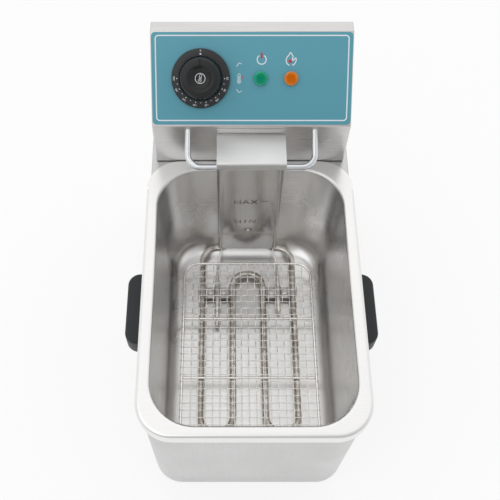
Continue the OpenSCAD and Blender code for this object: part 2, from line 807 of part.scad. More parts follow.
module head_casing() {
    color("lightgray") difference() {
        union() {
            difference() {
                side_extrude(head_w) head_outline(0);
                side_extrude(head_w - 2 * head_wall) difference() {
                    union() {
                        head_outline(head_wall);
                        translate([head_front + head_wall, cover_low - 1])
                            square([head_back - head_front + 1, 2]);
                        translate([head_back - 1, cover_low - 1])
                            square([2, head_h + 1 - head_wall - cover_low]);
                    }
                }
            }
            for (x = [-1, 1])
                side_extrude(cover_fold, x * (head_w / 2 - head_wall - cover_fold / 2))
                    translate([cover_front - head_wall, cover_low])
                    square([head_wall, head_h - head_wall - cover_low]);
        }
        block([-arm_w / 2 - 0.1, arm_w / 2 + 0.1], [head_front - 1, head_front + head_wall + 1],
            [arm_top - arm_box_h - 0.1, arm_top + 0.1]);
        for (x = [-1, 1])
            translate(at(x * rail_span / 2, head_front, rail_in_h)) rotate([90 + rail_a, 0, 0])
                cylinder(d = rail_t + 0.3, h = 12, center = true);
        on_slope(knob_x, control_s) cylinder(r = bush_r + 0.2, h = 6, center = true);
        for (x = [-1, 1])
            on_slope(knob_x + x * stat_screw_x, control_s)
                cylinder(r = stat_screw_r + 0.1, h = 6, center = true);
        for (x = [green_x, orange_x])
            on_slope(x, control_s) cylinder(r = lens_shank_r + 0.2, h = 6, center = true);
        for (p = cover_screw_places())
            translate(at(p.x, cover_front, p.y)) rotate([90, 0, 0])
                cylinder(r = cover_screw_r + 0.05, h = 4 * head_wall, center = true);
    }
}

module head_floor() {
    side = head_w / 2 - head_wall - 0.2;
    front = head_front + head_wall + 0.2;
    back = cover_front - head_wall - 0.4;
    low = deck_z - rim_z;
    color("silver") difference() {
        union() {
            block([-side, side], [front, back], [low, low + head_floor_wall]);
            for (x = [-1, 1])
                block([x * side - (x > 0 ? head_floor_wall : 0), x * side + (x > 0 ? 0 : head_floor_wall)],
                    [front, back], [low, low + floor_fold]);
            block([-side, side], [front, front + head_floor_wall], [low, low + floor_fold]);
        }
        for (x = [-1, 1])
            translate([x * ear_x, yd(ear_mid), deck_z])
                cube([ear_wall + 2 * ear_gap, ear_l + 2 * ear_gap, 8], center = true);
        translate([tab_x, yd(ear_mid), deck_z])
            cube([tab_w + 2 * ear_gap, tab_l + 2 * ear_gap, 8], center = true);
    }
}

module head_back_cover() {
    side = head_w / 2 - head_wall - 0.1;
    top = head_h - head_wall - 0.1;
    color("silver") difference() {
        block([-side, side], [cover_front, head_back], [cover_low, top]);
        for (p = cover_screw_places())
            translate(at(p.x, cover_front, p.y)) rotate([90, 0, 0])
                cylinder(r = cover_screw_r + 0.2, h = 6, center = true);
        for (x = [-1, 1], i = [0:4])
            translate(at(x * vent_x, head_back, head_h - (3 + i) * vent_pitch))
                cube([vent_l, 4 * cover_wall, vent_h], center = true);
        translate(at(limit_x, head_back, limit_z)) rotate([90, 0, 0])
            cylinder(r = collar_r - 1.5 + 0.1, h = 6, center = true);
        translate(at(gland_x, head_back, gland_z)) rotate([90, 0, 0])
            cylinder(r = gland_r + 0.1, h = 6, center = true);
    }
}

module cover_screws() {
    color("dimgray") for (p = cover_screw_places())
        translate(at(p.x, head_back, p.y)) rotate([90, 0, 0])
            screw_up(cover_screw_r, cover_wall + head_wall + 2);
}

module fascia_panel() {
    l = slope_l - fascia_low - fascia_high;
    color([0.35, 0.62, 0.68]) difference() {
        on_slope(0, fascia_low + l / 2) linear_extrude(fascia_wall)
            round_rect(head_w - 2 * fascia_side, l, fascia_r);
        on_slope(knob_x, control_s) cylinder(r = fascia_hole_r, h = 6, center = true);
        for (x = [green_x, orange_x])
            on_slope(x, control_s) cylinder(r = lens_shank_r + 0.2, h = 6, center = true);
    }
}

// ---------- thermostat ----------

module dial_ring() {
    inner = grip_r + dial_gap;
    color([0.12, 0.12, 0.13]) on_slope(knob_x, control_s) translate([0, 0, fascia_wall])
        rotate_extrude($fn = 96) polygon([
            [inner, 0], [dial_r, 0], [dial_r, dial_h - 2], [dial_r - 1, dial_h - 0.8],
            [inner, dial_h]
        ]);
}

bush_top = head_wall + 1.2;
module thermostat_body() {
    color("darkgray") on_slope(knob_x, control_s) difference() {
        union() {
            translate([-stat_w / 2, -stat_l / 2, -head_wall - stat_h])
                cube([stat_w, stat_l, stat_h]);
            translate([0, 0, -head_wall - 1]) cylinder(r = bush_r, h = bush_top + head_wall + 1);
        }
        translate([0, 0, -head_wall - 8]) cylinder(r = shaft_r + shaft_gap, h = 30);
        for (x = [-1, 1])
            translate([x * stat_screw_x, 0, -head_wall - 6])
                cylinder(r = stat_screw_r + 0.05, h = 8);
    }
}

module thermostat_screws() {
    color("silver") for (x = [-1, 1])
        on_slope(knob_x + x * stat_screw_x, control_s) rotate([180, 0, 0])
            screw_up(stat_screw_r, head_wall + 5);
}

// The shaft has a flat that the knob fits
shaft_top = grip_h - 8;
shaft_flat = 0.7 * shaft_r;
module shaft_shape(r, low, high, flat) {
    difference() {
        translate([0, 0, low]) cylinder(r = r, h = high - low);
        translate([flat, -2 * r, bush_top + 1]) cube([2 * r, 4 * r, high]);
    }
}

module thermostat_shaft() {
    color("silver") on_slope(knob_x, control_s)
        shaft_shape(shaft_r, -head_wall - 7, shaft_top, shaft_flat);
}

module thermostat_knob() {
    color([0.1, 0.1, 0.11]) on_slope(knob_x, control_s) difference() {
        rotate_extrude($fn = 96) polygon([
            [0, grip_lift], [grip_r, grip_lift], [grip_r, dial_h + 2],
            [grip_r - 0.9, grip_h - 3], [grip_r - 2.2, grip_h - 1.2],
            [grip_r - 4.4, grip_h - 0.2], [recess_r + 1.4, grip_h],
            [recess_r, grip_h - 0.8], [recess_r - 2, grip_h - 2.6],
            [recess_r - 4.5, grip_h - 3.4], [0, grip_h - 3.6]
        ]);
        translate([-0.6, recess_r + 1.5, grip_h - 0.9]) cube([1.2, grip_r, 3]);
        difference() {
            translate([0, 0, grip_lift - EPS]) cylinder(r = shaft_r + 0.05,
                h = shaft_top + 0.1 - grip_lift);
            translate([shaft_flat + 0.05, -2 * shaft_r, grip_lift + 0.5])
                cube([2 * shaft_r, 4 * shaft_r, grip_h]);
        }
    }
}

// Sensing bulb with a tapered rear end, along the pan, at x
module bulb(x, l) {
    back = at(x, bulb_back, -element_drop);
    color("silver") translate(back) rotate([90, 0, 0]) {
        cylinder(d = bulb_t, h = l);
        translate([0, 0, -bulb_taper]) cylinder(d1 = capillary_t, d2 = bulb_t,
            h = bulb_taper);
    }
}
module thermostat_bulb() { bulb(-bulb_x, stat_bulb_l); }
module limit_bulb() { bulb(bulb_x, limit_bulb_l); }

// Capillary from a bulb through the arm into the head; side is -1 or 1
function capillary_start(side) = [
    at(side * bulb_x, bulb_back + bulb_taper, -element_drop),
    at(side * bulb_x, bulb_back + bulb_taper + 9, -element_drop),
    at(side * capillary_x, leg_d(-arm_drop) - 2.6, -arm_drop - 2.3),
    at(side * capillary_x, leg_d(-arm_drop) + tube_in_leg, -arm_drop - 0.5),
    at(side * capillary_x, leg_d(tail_h) + tube_in_leg, tail_h)
];
// Centre of the thermostat's rear face
stat_back = [knob_x,
    yd(head_front) + control_s * cos(slope_a) + (head_wall + stat_h) * sin(slope_a),
    rim_z + head_face_h + control_s * sin(slope_a) - (head_wall + stat_h) * cos(slope_a)];
stat_out = [0, sin(slope_a), -cos(slope_a)];

module thermostat_capillary() {
    color("silver") bent_rod(concat(capillary_start(-1), [
        at(-capillary_x, tail_back + 9, tail_h),
        at(-capillary_x, tail_back + 20, tail_h + 12),
        stat_back + 6 * stat_out,
        stat_back
    ]), [4, 3, 2.5, 3, 5, 4, 2], capillary_t);
}

module limit_capillary() {
    color("silver") bent_rod(concat(capillary_start(1), [
        at(capillary_x, tail_back + 17, tail_h),
        at(limit_x, limit_front - 12, limit_z),
        at(limit_x, limit_front, limit_z)
    ]), [4, 3, 2.5, 3, 5, 4], capillary_t);
}

// ---------- high-limit cut-out, switch, terminals, gland, lamps ----------

limit_back = cover_front;
limit_front = limit_back - limit_l;

module limit_thermostat() {
    color("darkgray") difference() {
        block([limit_x - limit_w / 2, limit_x + limit_w / 2], [limit_front, limit_back],
            [limit_z - limit_w / 2, limit_z + limit_w / 2]);
        translate(at(limit_x, limit_back, limit_z)) rotate([90, 0, 0])
            cylinder(r = button_r + 0.06, h = 2 * (button_travel + 5), center = true);
    }
}

module reset_collar() {
    color([0.15, 0.15, 0.15]) translate(at(limit_x, head_back, limit_z)) rotate([-90, 0, 0])
        difference() {
            union() {
                cylinder(r = collar_r, h = collar_out);
                translate([0, 0, -cover_wall]) cylinder(r = collar_r - 1.5, h = cover_wall + 1);
            }
            translate([0, 0, -cover_wall - 1]) cylinder(r = button_r + 0.06, h = collar_out + 10);
            translate([0, 0, collar_out - 2]) cylinder(r = collar_r - 1.2, h = 3);
        }
}

module reset_button() {
    color("firebrick") translate(at(limit_x, head_back + collar_out - 0.5, limit_z))
        rotate([90, 0, 0]) cylinder(r = button_r, h = collar_out + cover_wall + 3.5);
}

module micro_switch() {
    color([0.15, 0.15, 0.17]) difference() {
        block([tab_x - switch_w / 2, tab_x + switch_w / 2],
            [ear_mid - switch_l / 2, ear_mid + switch_l / 2], [switch_low, switch_top]);
        translate(at(tab_x, ear_mid, switch_low - EPS))
            cylinder(r = plunger_r + 0.05, h = 3 + plunger_travel + 1);
    }
}

module switch_plunger() {
    color("firebrick") translate(at(tab_x, ear_mid, plunger_low))
        cylinder(r = plunger_r, h = switch_low - plunger_low + 3);
}

module switch_bracket() {
    wall_x = head_w / 2 - head_wall;
    color("silver") {
        block([tab_x - switch_w / 2, wall_x], [ear_mid - switch_l / 2, ear_mid + switch_l / 2],
            [switch_top, switch_top + 1.2]);
        block([wall_x - 1.2, wall_x], [ear_mid - switch_l / 2, ear_mid + switch_l / 2],
            [switch_top, switch_top + 14]);
    }
}

module terminal_block() {
    low = deck_z - rim_z + head_floor_wall;
    back = cover_front - head_wall - 3;
    color("ivory") difference() {
        block([-terminal_w / 2, terminal_w / 2], [back - terminal_l, back], [low, low + terminal_h]);
        for (i = [-1.5:1:1.5])
            translate(at(i * terminal_w / 4.4, back - terminal_l / 2, low + terminal_h - 6))
                cylinder(r = 2.2, h = 10);
        for (i = [-1:1:1])
            translate(at(i * terminal_w / 4.4, back - terminal_l / 2, low + terminal_h))
                cube([1.6, terminal_l + 2, 8], center = true);
    }
}

module cord_gland() {
    color([0.12, 0.12, 0.12]) translate(at(gland_x, head_back, gland_z)) rotate([-90, 0, 0])
        difference() {
            union() {
                cylinder(r = gland_head_r, h = gland_out - 4, $fn = 6);
                cylinder(r = gland_r - 0.5, h = gland_out);
                translate([0, 0, -cover_wall - 8]) cylinder(r = gland_r, h = cover_wall + 8 + 1);
            }
            translate([0, 0, -cover_wall - 9]) cylinder(r = gland_bore_r, h = gland_out + cover_wall + 12);
        }
}

module gland_nut() {
    color([0.18, 0.18, 0.18]) translate(at(gland_x, cover_front, gland_z)) rotate([90, 0, 0])
        difference() {
            cylinder(r = gland_head_r, h = 5, $fn = 6);
            translate([0, 0, -1]) cylinder(r = gland_r + 0.05, h = 8);
        }
}

// Lens seated on the fascia with a shank through the casing
module lens(x) {
    on_slope(x, control_s) {
        translate([0, 0, fascia_wall]) rotate_extrude() polygon([
            [0, 0], [lens_r, 0], [lens_r, lens_h * 0.6], [lens_r - 1.6, lens_h], [0, lens_h]
        ]);
        translate([0, 0, -head_wall]) cylinder(r = lens_shank_r, h = head_wall + fascia_wall);
    }
}
module lens_green() { color([0.1, 0.62, 0.4, 0.9]) lens(green_x); }
module lens_orange() { color([0.9, 0.45, 0.08, 0.9]) lens(orange_x); }

module lamp_holders() {
    color("ivory") for (x = [green_x, orange_x]) on_slope(x, control_s) {
        translate([0, 0, -head_wall - holder_l]) cylinder(r = holder_r, h = holder_l);
        for (k = [-1, 1])
            translate([k * 2.5, 0, -head_wall - holder_l - 4]) cube([0.8, 4, 8], center = true);
    }
}

// ---------- element arm ----------

arm_low = arm_top - arm_box_h;
arm_back = head_front + arm_in;

// Side view of the arm
module arm_outline() {
    polygon([
        [arm_back, arm_top], [leg_d(arm_top), arm_top], [leg_d(-arm_drop), -arm_drop],
        [leg_d(-arm_drop) + arm_t, -arm_drop], [leg_d(arm_low) + arm_t, arm_low],
        [arm_back, arm_low]
    ]);
}

// Side view of the space inside the channel, open at the back and below
module arm_inside() {
    polygon([
        [arm_back + 1, arm_top - arm_wall], [leg_d(arm_top) + arm_wall, arm_top - arm_wall],
        [leg_d(-arm_drop) + arm_wall, -arm_drop - 1], [leg_d(-arm_drop) + arm_t + 1, -arm_drop - 1],
        [leg_d(arm_low) + arm_t + 1, arm_low - 1], [arm_back + 1, arm_low - 1]
    ]);
}

// Places its children at the rivet on the leg's front, with +Z out of the leg
module at_arm_rivet() {
    h = arm_rivet_up - arm_drop;
    translate(at(0, leg_d(h), h)) rotate([90 - pan_draft, 0, 0]) children();
}

module element_arm() {
    color("gainsboro") difference() {
        union() {
            difference() {
                side_extrude(arm_w) arm_outline();
                side_extrude(arm_w - 2 * arm_wall) arm_inside();
            }
            for (x = [-1, 1])
                side_extrude(arm_flange, x * (arm_w + arm_flange) / 2)
                    translate([flange_in, arm_low]) square([arm_wall, arm_box_h]);
            side_extrude(arm_w) translate([head_front - arm_wall, arm_top - EPS])
                square([arm_wall, upstand_h]);
        }
        at_arm_rivet() cylinder(r = 0.45 * arm_rivet_r + 0.05, h = 8, center = true);
    }
}

module arm_rivet() {
    back = -arm_wall - 0.1;
    color("silver") at_arm_rivet() rotate_extrude($fn = 48) polygon([
        [0, back - 0.9], [0.75 * arm_rivet_r, back - 0.9], [0.75 * arm_rivet_r, back],
        [0.45 * arm_rivet_r, back], [0.45 * arm_rivet_r, 0.01], [arm_rivet_r, 0.01],
        [arm_rivet_r, 0.35], [0.85 * arm_rivet_r, 0.8], [0.55 * arm_rivet_r, 1.15], [0, 1.3]
    ]);
}

module arm_back_plate() {
    w = arm_w - 2 * arm_wall - 0.2;
    color("silver") side_extrude(w) polygon([
        [leg_d(-arm_drop) + arm_t - arm_wall, -arm_drop], [leg_d(-arm_drop) + arm_t, -arm_drop],
        [leg_d(arm_low) + arm_t, arm_low], [arm_back, arm_low], [arm_back, arm_low + arm_wall],
        [leg_d(arm_low) + arm_t - arm_wall, arm_low + arm_wall]
    ]);
}

module arm_top_plate() {
    back = head_front - arm_wall - plate_groove;
    color("whitesmoke") {
        side_extrude(arm_w) translate([plate_front, arm_top])
            square([back - plate_front, arm_wall]);
        side_extrude(arm_w) translate([plate_front, plate_z - plate_lip])
            square([arm_wall, plate_lip - arm_wall + EPS]);
    }
}

// ---------- basket rail ----------

rail_far = head_front + rail_in;
rail_far_h = rail_h + (rail_in_h - rail_h) * (rail_reach + rail_in) / rail_reach;

module basket_rail() {
    x = rail_span / 2;
    d = head_front - rail_reach;
    color("lightgray") bent_rod([
        at(-x, rail_far, rail_far_h), at(-x, d, rail_h), at(x, d, rail_h), at(x, rail_far, rail_far_h)
    ], [rail_r, rail_r], rail_t);
}

module rail_nuts() {
    color("silver") for (x = [-1, 1])
        translate(at(x * rail_span / 2, head_front, rail_in_h)) rotate([rail_a - 90, 0, 0])
            translate([0, 0, head_wall + rail_nut_r * tan(rail_a) + 0.7]) difference() {
                cylinder(r = rail_nut_r, h = 4, $fn = 6);
                translate([0, 0, -1]) cylinder(d = rail_t + 0.1, h = 8);
            }
}

// ---------- heating element ----------

// Points of the element's left half, from the tail in the head to the rear arch
function element_half(side) = [
    at(side * tail_x, tail_back, tail_h),
    at(side * tail_x, leg_d(tail_h) + tube_in_leg, tail_h),
    at(side * tail_x, sweep_d, -element_drop),
    at(side * outer_x, sweep_d, -element_drop),
    at(side * outer_x, turn_d, -element_drop),
    at(side * inner_x, turn_d, -element_drop),
    at(side * inner_x, arch_d, -element_drop)
];
turn_r = tube_pitch / 2 - 0.3;
half_bends = [entry_r, entry_r, sweep_r, turn_r, turn_r, turn_r];
function reversed(list) = [for (i = [len(list) - 1:-1:0]) list[i]];

module heating_element() {
    color([0.45, 0.42, 0.4]) bent_rod(
        concat(element_half(-1), reversed(element_half(1))),
        concat(half_bends, reversed(half_bends)), tube_t);
}

module element_terminals() {
    color("ivory") for (x = [-1, 1]) translate(at(x * tail_x, tail_back, tail_h)) rotate([-90, 0, 0]) {
        cylinder(r = tube_t / 2 + 0.6, h = 5);
        translate([0, 0, 4.5 + blade_l / 2]) cube([blade_w, 0.8, blade_l], center = true);
    }
}

// Clamp strip seen along the tubes: two saddles and the flat between them, side is 1 or -1
module clamp_section(side) {
    r = tube_t / 2 + 0.05;
    rb = bulb_t / 2 + 0.05;
    gap = 0.05;
    half = tube_pitch / 2;
    difference() {
        union() {
            for (x = [-half, half]) translate([x, 0]) circle(r = r + clamp_wall);
            circle(r = rb + clamp_wall);
            translate([-half, side > 0 ? gap : -gap - clamp_wall]) square([2 * half, clamp_wall]);
        }
        for (x = [-half, half]) translate([x, 0]) circle(r = r);
        circle(r = rb);
        translate([-tube_pitch, side > 0 ? -20 + gap : -gap]) square([2 * tube_pitch, 20]);
    }
}

module clamp_strips(side) {
    for (x = [-1, 1]) translate(at(x * tube_pitch, clamp_d, -element_drop)) difference() {
        translate([0, clamp_w / 2, 0]) rotate([90, 0, 0]) linear_extrude(clamp_w)
            clamp_section(side);
        for (k = [-1, 1]) translate([k * clamp_screw_x, 0, 0])
            cylinder(r = clamp_screw_r + 0.05, h = 8, center = true);
    }
}
module clamp_uppers() { color("silver") clamp_strips(1); }
module clamp_lowers() { color("darkgray") clamp_strips(-1); }

module clamp_screws() {
    color("silver") for (x = [-1, 1], k = [-1, 1])
        translate(at(x * tube_pitch + k * clamp_screw_x, clamp_d, -element_drop + 0.05 + clamp_wall))
            rotate([180, 0, 0]) screw_up(clamp_screw_r, 2 * clamp_wall + 1.5, 1.8);
}

// ---------- grid ----------

module grid_frame() {
    color("silver") translate(at(0, grid_mid, mesh_h)) sweep_rect(grid_w, grid_l, grid_r)
        circle(d = frame_t);
}

// How far a wire's end stays inside the frame's centre line; the wire's outer edge is
// at distance q from the grid's middle
function inset(q, half) = q > half - grid_r
    ? grid_r - sqrt(max(0, (grid_r - frame_t / 2) ^ 2 - (q - half + grid_r) ^ 2))
    : frame_t / 2;

module grid_bars() {
    x = grid_w / 2 - sqrt(max(0, (frame_t / 2) ^ 2 - (mesh_h - bar_h - frame_t / 2) ^ 2));
    color("silver") for (d = [bar_front, grid_l - bar_rear])
        rod(at(-x, grid_d0 + d, bar_h), at(x, grid_d0 + d, bar_h), frame_t);
}

long_n = floor((grid_w / 2 - 4) / wire_pitch);
cross_n = floor((grid_l / 2 - 4) / wire_pitch);

module grid_long_wires() {
    color("silver") for (i = [-long_n:long_n]) {
        x = i * wire_pitch;
        cut = inset(abs(x) + wire_t / 2, grid_w / 2);
        rod(at(x, grid_d0 + cut, mesh_h + layer), at(x, grid_d1 - cut, mesh_h + layer), wire_t);
    }
}

module grid_cross_wires() {
    color("silver") for (i = [-cross_n:cross_n]) {
        y = i * wire_pitch;
        x = grid_w / 2 - inset(abs(y) + wire_t / 2, grid_l / 2);
        rod(at(-x, grid_mid + y, mesh_h - layer), at(x, grid_mid + y, mesh_h - layer), wire_t);
    }
}

outer_housing();
base_plate();
base_screws();
rubber_feet();
foot_screws();
side_handle_left();
side_handle_right();
handle_screws();
docking_bracket();
bracket_rivets();
oil_pan();
head_casing();
head_floor();
head_back_cover();
cover_screws();
fascia_panel();
dial_ring();
thermostat_body();
thermostat_screws();
thermostat_bulb();
thermostat_capillary();
limit_thermostat();
limit_bulb();
limit_capillary();
reset_collar();
reset_button();
micro_switch();
switch_bracket();
switch_plunger();
terminal_block();
cord_gland();
gland_nut();
lens_green();
lens_orange();
lamp_holders();
element_arm();
arm_rivet();
arm_back_plate();
arm_top_plate();
basket_rail();
rail_nuts();
heating_element();
element_terminals();
clamp_uppers();
clamp_lowers();
clamp_screws();
thermostat_knob();
thermostat_shaft();
grid_frame();
grid_bars();
grid_long_wires();
grid_cross_wires();
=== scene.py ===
import math
import json

import bmesh
import bpy
import numpy as np
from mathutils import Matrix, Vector


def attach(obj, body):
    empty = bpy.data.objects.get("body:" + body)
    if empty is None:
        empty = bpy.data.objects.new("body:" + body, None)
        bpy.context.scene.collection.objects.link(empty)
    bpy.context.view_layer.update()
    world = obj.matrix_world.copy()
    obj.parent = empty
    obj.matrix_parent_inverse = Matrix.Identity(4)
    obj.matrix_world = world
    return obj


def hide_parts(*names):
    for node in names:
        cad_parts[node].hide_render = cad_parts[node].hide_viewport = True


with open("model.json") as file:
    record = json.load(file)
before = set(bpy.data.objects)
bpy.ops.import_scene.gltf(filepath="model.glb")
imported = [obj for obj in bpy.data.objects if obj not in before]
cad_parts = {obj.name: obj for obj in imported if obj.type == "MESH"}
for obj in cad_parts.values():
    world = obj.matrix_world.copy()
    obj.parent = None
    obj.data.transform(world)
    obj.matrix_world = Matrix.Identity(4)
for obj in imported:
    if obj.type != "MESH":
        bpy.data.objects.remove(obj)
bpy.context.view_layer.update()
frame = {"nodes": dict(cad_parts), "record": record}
nodes = frame["nodes"]

# ---- sizes, in mm
# x runs across from the middle, d back from the housing's front, h up from the pan's rim
MIDDLE, RIM = 185.25, 205.0
SHEET, EDGE_R = 1.0, 1.2
# housing, its corners, and the slots that the docking bracket's ears come through
HOUSING_W, HOUSING_D, HOUSING_LOW, DECK = 203.0, 364.0, 9.0, 204.0
HOUSING_FRONT_R, HOUSING_REAR_R, WELL_GAP, FOLD_W = 30.0, 6.0, 3.4, 12.0
SLOT_X, SLOT_W, SLOT_FRONT, SLOT_BACK = 90.5, 2.0, 288.6, 343.4
# pan: bowl, then flange and lip
PAN_W, PAN_FRONT, PAN_BACK, PAN_R, PAN_H = 185.2, 7.8, 272.6, 41.0, 150.0
PAN_FLOOR_R, DRAFT, RIM_R = 18.0, math.radians(2.5), 3.0
FLANGE_W, FLANGE_FRONT, FLANGE_BACK, FLANGE_R = 210.0, -3.5, 284.0, 33.5
LIP_R, LIP_H = 3.5, 14.0
# handles
HANDLE_OUT, HANDLE_L, HANDLE_H, HANDLE_R = 21.0, 75.0, 25.0, 12.0
HANDLE_FRONT, HANDLE_TOP_Z = 97.0, 170.0
POCKET_WALL, POCKET_OUT, POCKET_END, POCKET_R = 5.0, 17.0, 7.0, 3.0
# head and its slope
HEAD_W, HEAD_FRONT, HEAD_BACK = 193.4, 285.0, 364.0
HEAD_LOW, HEAD_FACE, HEAD_H, HEAD_TOP_D = 0.6, 56.5, 115.3, 12.0
SLOPE_RUN, SLOPE_RISE = HEAD_BACK - HEAD_TOP_D - HEAD_FRONT, HEAD_H - HEAD_FACE
SLOPE, SLOPE_L = math.atan2(SLOPE_RISE, SLOPE_RUN), math.hypot(SLOPE_RISE, SLOPE_RUN)
# fascia and its printed border line; s runs up the slope
FASCIA_T, FASCIA_LOW, FASCIA_HIGH, FASCIA_W, FASCIA_R = 0.8, 1.8, 0.8, 191.6, 4.0
BORDER_X, BORDER_LOW, BORDER_HIGH, BORDER_W, BORDER_R = 92.3, 5.3, 85.7, 1.15, 3.6
# dial, knob and lamps
CONTROL_S, KNOB_X, GREEN_X, ORANGE_X = 45.4, -48.8, 8.3, 37.5
DIAL_R, DIAL_H, DIAL_EDGE, DIAL_FALL = 27.9, 6.0, 1.1, 0.75
DOT_RING, NUMBER_RING, NUMBER_SIZE = 22.7, 25.3, 2.6
GRIP_R, GRIP_H, GRIP_LIFT, RECESS_R, RECESS_DEEP = 19.8, 24.0, 3.4, 10.8, 3.6
FLUTES, FLUTE_DEEP, POINTER_W, POINTER_DEEP = 36, 0.22, 1.3, 1.8
LENS_R, LENS_H, LENS_STEM_R, LENS_FACETS = 6.75, 4.0, 4.6, 9
# arm, its top plate, its marks and its rivet
ARM_W, ARM_T, ARM_R, ARM_TOP, ARM_BOX, ARM_DROP = 67.6, 9.4, 3.0, 45.0, 20.0, 134.0
LEG_FRONT, PLATE_FRONT, PLATE_BACK, PLATE_LIP = 260.5, 247.5, 282.8, 9.0
MARK_X, MARK_STROKE, RIVET_UP, RIVET_HEAD_R = -3.6, 1.15, 41.0, 3.6
# basket rail
RAIL_T, RAIL_X, RAIL_D, RAIL_H, RAIL_IN_H, RAIL_R = 6.0, 62.0, 252.0, 35.2, 49.0, 13.0
RAIL_END = 12.0
# heating element, bulbs and clamp screws
TUBE_T, PITCH, ELEMENT_H = 7.0, 34.8, -141.0
TAIL_X, TAIL_BACK, TAIL_H, IN_LEG = 24.0, 304.0, 35.0, 4.7
TURN_D, ARCH_D, TURN_R = 39.8, 225.0, PITCH / 2 - 0.3
BULB_X, BULB_BACK, BULB_TAPER, STAT_BULB_L, LIMIT_BULB_L = 34.8, 212.6, 16.0, 54.0, 37.0
CLAMP_D, CLAMP_SCREW_X, CLAMP_TOP = 200.8, 7.2, 1.05
# grid
FRAME_T, GRID_W, GRID_D0, GRID_D1, GRID_R = 3.0, 144.4, 28.0, 234.0, 16.0
BAR_H, BAR_FRONT, BAR_REAR, BAR_GAP = -135.7, 69.0, 138.0, 1.05
MESH_H, WIRE_T, WIRE_PITCH, LONG_N, CROSS_N = -133.125, 1.0, 7.8, 8, 12
# camera and stage, in metres
CAMERA_AT = (-0.02449, -0.35468, 0.84298)
CAMERA_TILT, CAMERA_LENS, CAMERA_SHIFT = 28.67, 54.05, 0.0475
FLOOR_HALF, FLOOR_DEEP, LAMP_AIM_Z = 6.0, 0.02, 0.15
# steps of a rounded edge, in degrees
ROUND, FINE_ROUND = (0, 30, 60, 90), (0, 15, 30, 45, 60, 75, 90)
# how deep print is sunk and how far it stands out; points nearer than FUSE metres become one
INK_SUNK, INK_T, FUSE = 0.02, 0.05, 1e-7


def at(x, d, h):
    """A place across, behind the housing's front and above the rim, in metres."""
    return np.array([x, d - MIDDLE, RIM + h]) / 1000.0


def leg_d(h):
    """Distance of the leg's front face at height h."""
    return LEG_FRONT + h * math.tan(DRAFT)


SLOPE_O = at(0, HEAD_FRONT, HEAD_FACE)
SLOPE_U = np.array([0, math.cos(SLOPE), math.sin(SLOPE)])
SLOPE_N = np.array([0, -math.sin(SLOPE), math.cos(SLOPE)])


def slope(x, s, out=0.0):
    """A place on the head's slope: across, up the slope and out of it, in mm."""
    return SLOPE_O + np.array([x, 0, 0]) / 1000 + SLOPE_U * s / 1000 + SLOPE_N * out / 1000


# ---- materials
def new_material(name):
    m = bpy.data.materials.new(name)
    m.use_nodes = True
    tree = m.node_tree
    bsdf = next(n for n in tree.nodes if n.type == "BSDF_PRINCIPLED")
    return m, tree, bsdf


def link(value, node, socket):
    """Feeds a value into a node's socket."""
    node.id_data.links.new(value, node.inputs[socket])


def set_inputs(node, values):
    for name, value in values.items():
        node.inputs[name].default_value = value


def noise(tree, scale, stretch=(1, 1, 1), detail=2.0, rough=0.5):
    """Noise over the place on the object, with the axes stretched."""
    coord = tree.nodes.new("ShaderNodeTexCoord")
    mapping = tree.nodes.new("ShaderNodeMapping")
    mapping.inputs["Scale"].default_value = stretch
    tex = tree.nodes.new("ShaderNodeTexNoise")
    set_inputs(tex, {"Scale": scale, "Detail": detail, "Roughness": rough})
    link(coord.outputs["Object"], mapping, "Vector")
    link(mapping.outputs["Vector"], tex, "Vector")
    return tex.outputs["Fac"]


def combine(tree, operation, a, b):
    n = tree.nodes.new("ShaderNodeMath")
    n.operation = operation
    link(a, n, 0)
    link(b, n, 1)
    return n.outputs[0]


def map_range(tree, value, low, high, to_low, to_high):
    n = tree.nodes.new("ShaderNodeMapRange")
    set_inputs(n, {"From Min": low, "From Max": high, "To Min": to_low, "To Max": to_high})
    link(value, n, "Value")
    return n.outputs["Result"]


def mix_colour(tree, factor, a, b):
    n = tree.nodes.new("ShaderNodeMix")
    n.data_type = "RGBA"
    for socket, colour in (("A", a), ("B", b)):
        target = next(i for i in n.inputs if i.name == socket and i.type == "RGBA")
        target.default_value = (*colour, 1)
    link(factor, n, "Factor")
    return next(o for o in n.outputs if o.type == "RGBA")


def add_bump(tree, bsdf, height, strength, distance):
    n = tree.nodes.new("ShaderNodeBump")
    set_inputs(n, {"Strength": strength, "Distance": distance})
    link(height, n, "Height")
    link(n.outputs["Normal"], bsdf, "Normal")


def steel(name, light, dark, rough, grain, scale=900.0, bump=0.06, smudge=14.0, spread=0.07):
    """Stainless sheet: fine grain along one axis, slow changes of sheen."""
    m, tree, bsdf = new_material(name)
    lines = noise(tree, scale, grain, 4.0, 0.65)
    slow = noise(tree, smudge, detail=3.0, rough=0.55)
    bsdf.inputs["Metallic"].default_value = 1.0
    colour = mix_colour(tree, map_range(tree, lines, 0.3, 0.7, 0.0, 1.0), dark, light)
    link(colour, bsdf, "Base Color")
    sheen = combine(tree, "ADD", map_range(tree, lines, 0.2, 0.8, -spread * 0.6, spread * 0.6),
                    map_range(tree, slow, 0.3, 0.7, rough - spread, rough + spread))
    link(sheen, bsdf, "Roughness")
    add_bump(tree, bsdf, lines, bump, 0.0004)
    return m


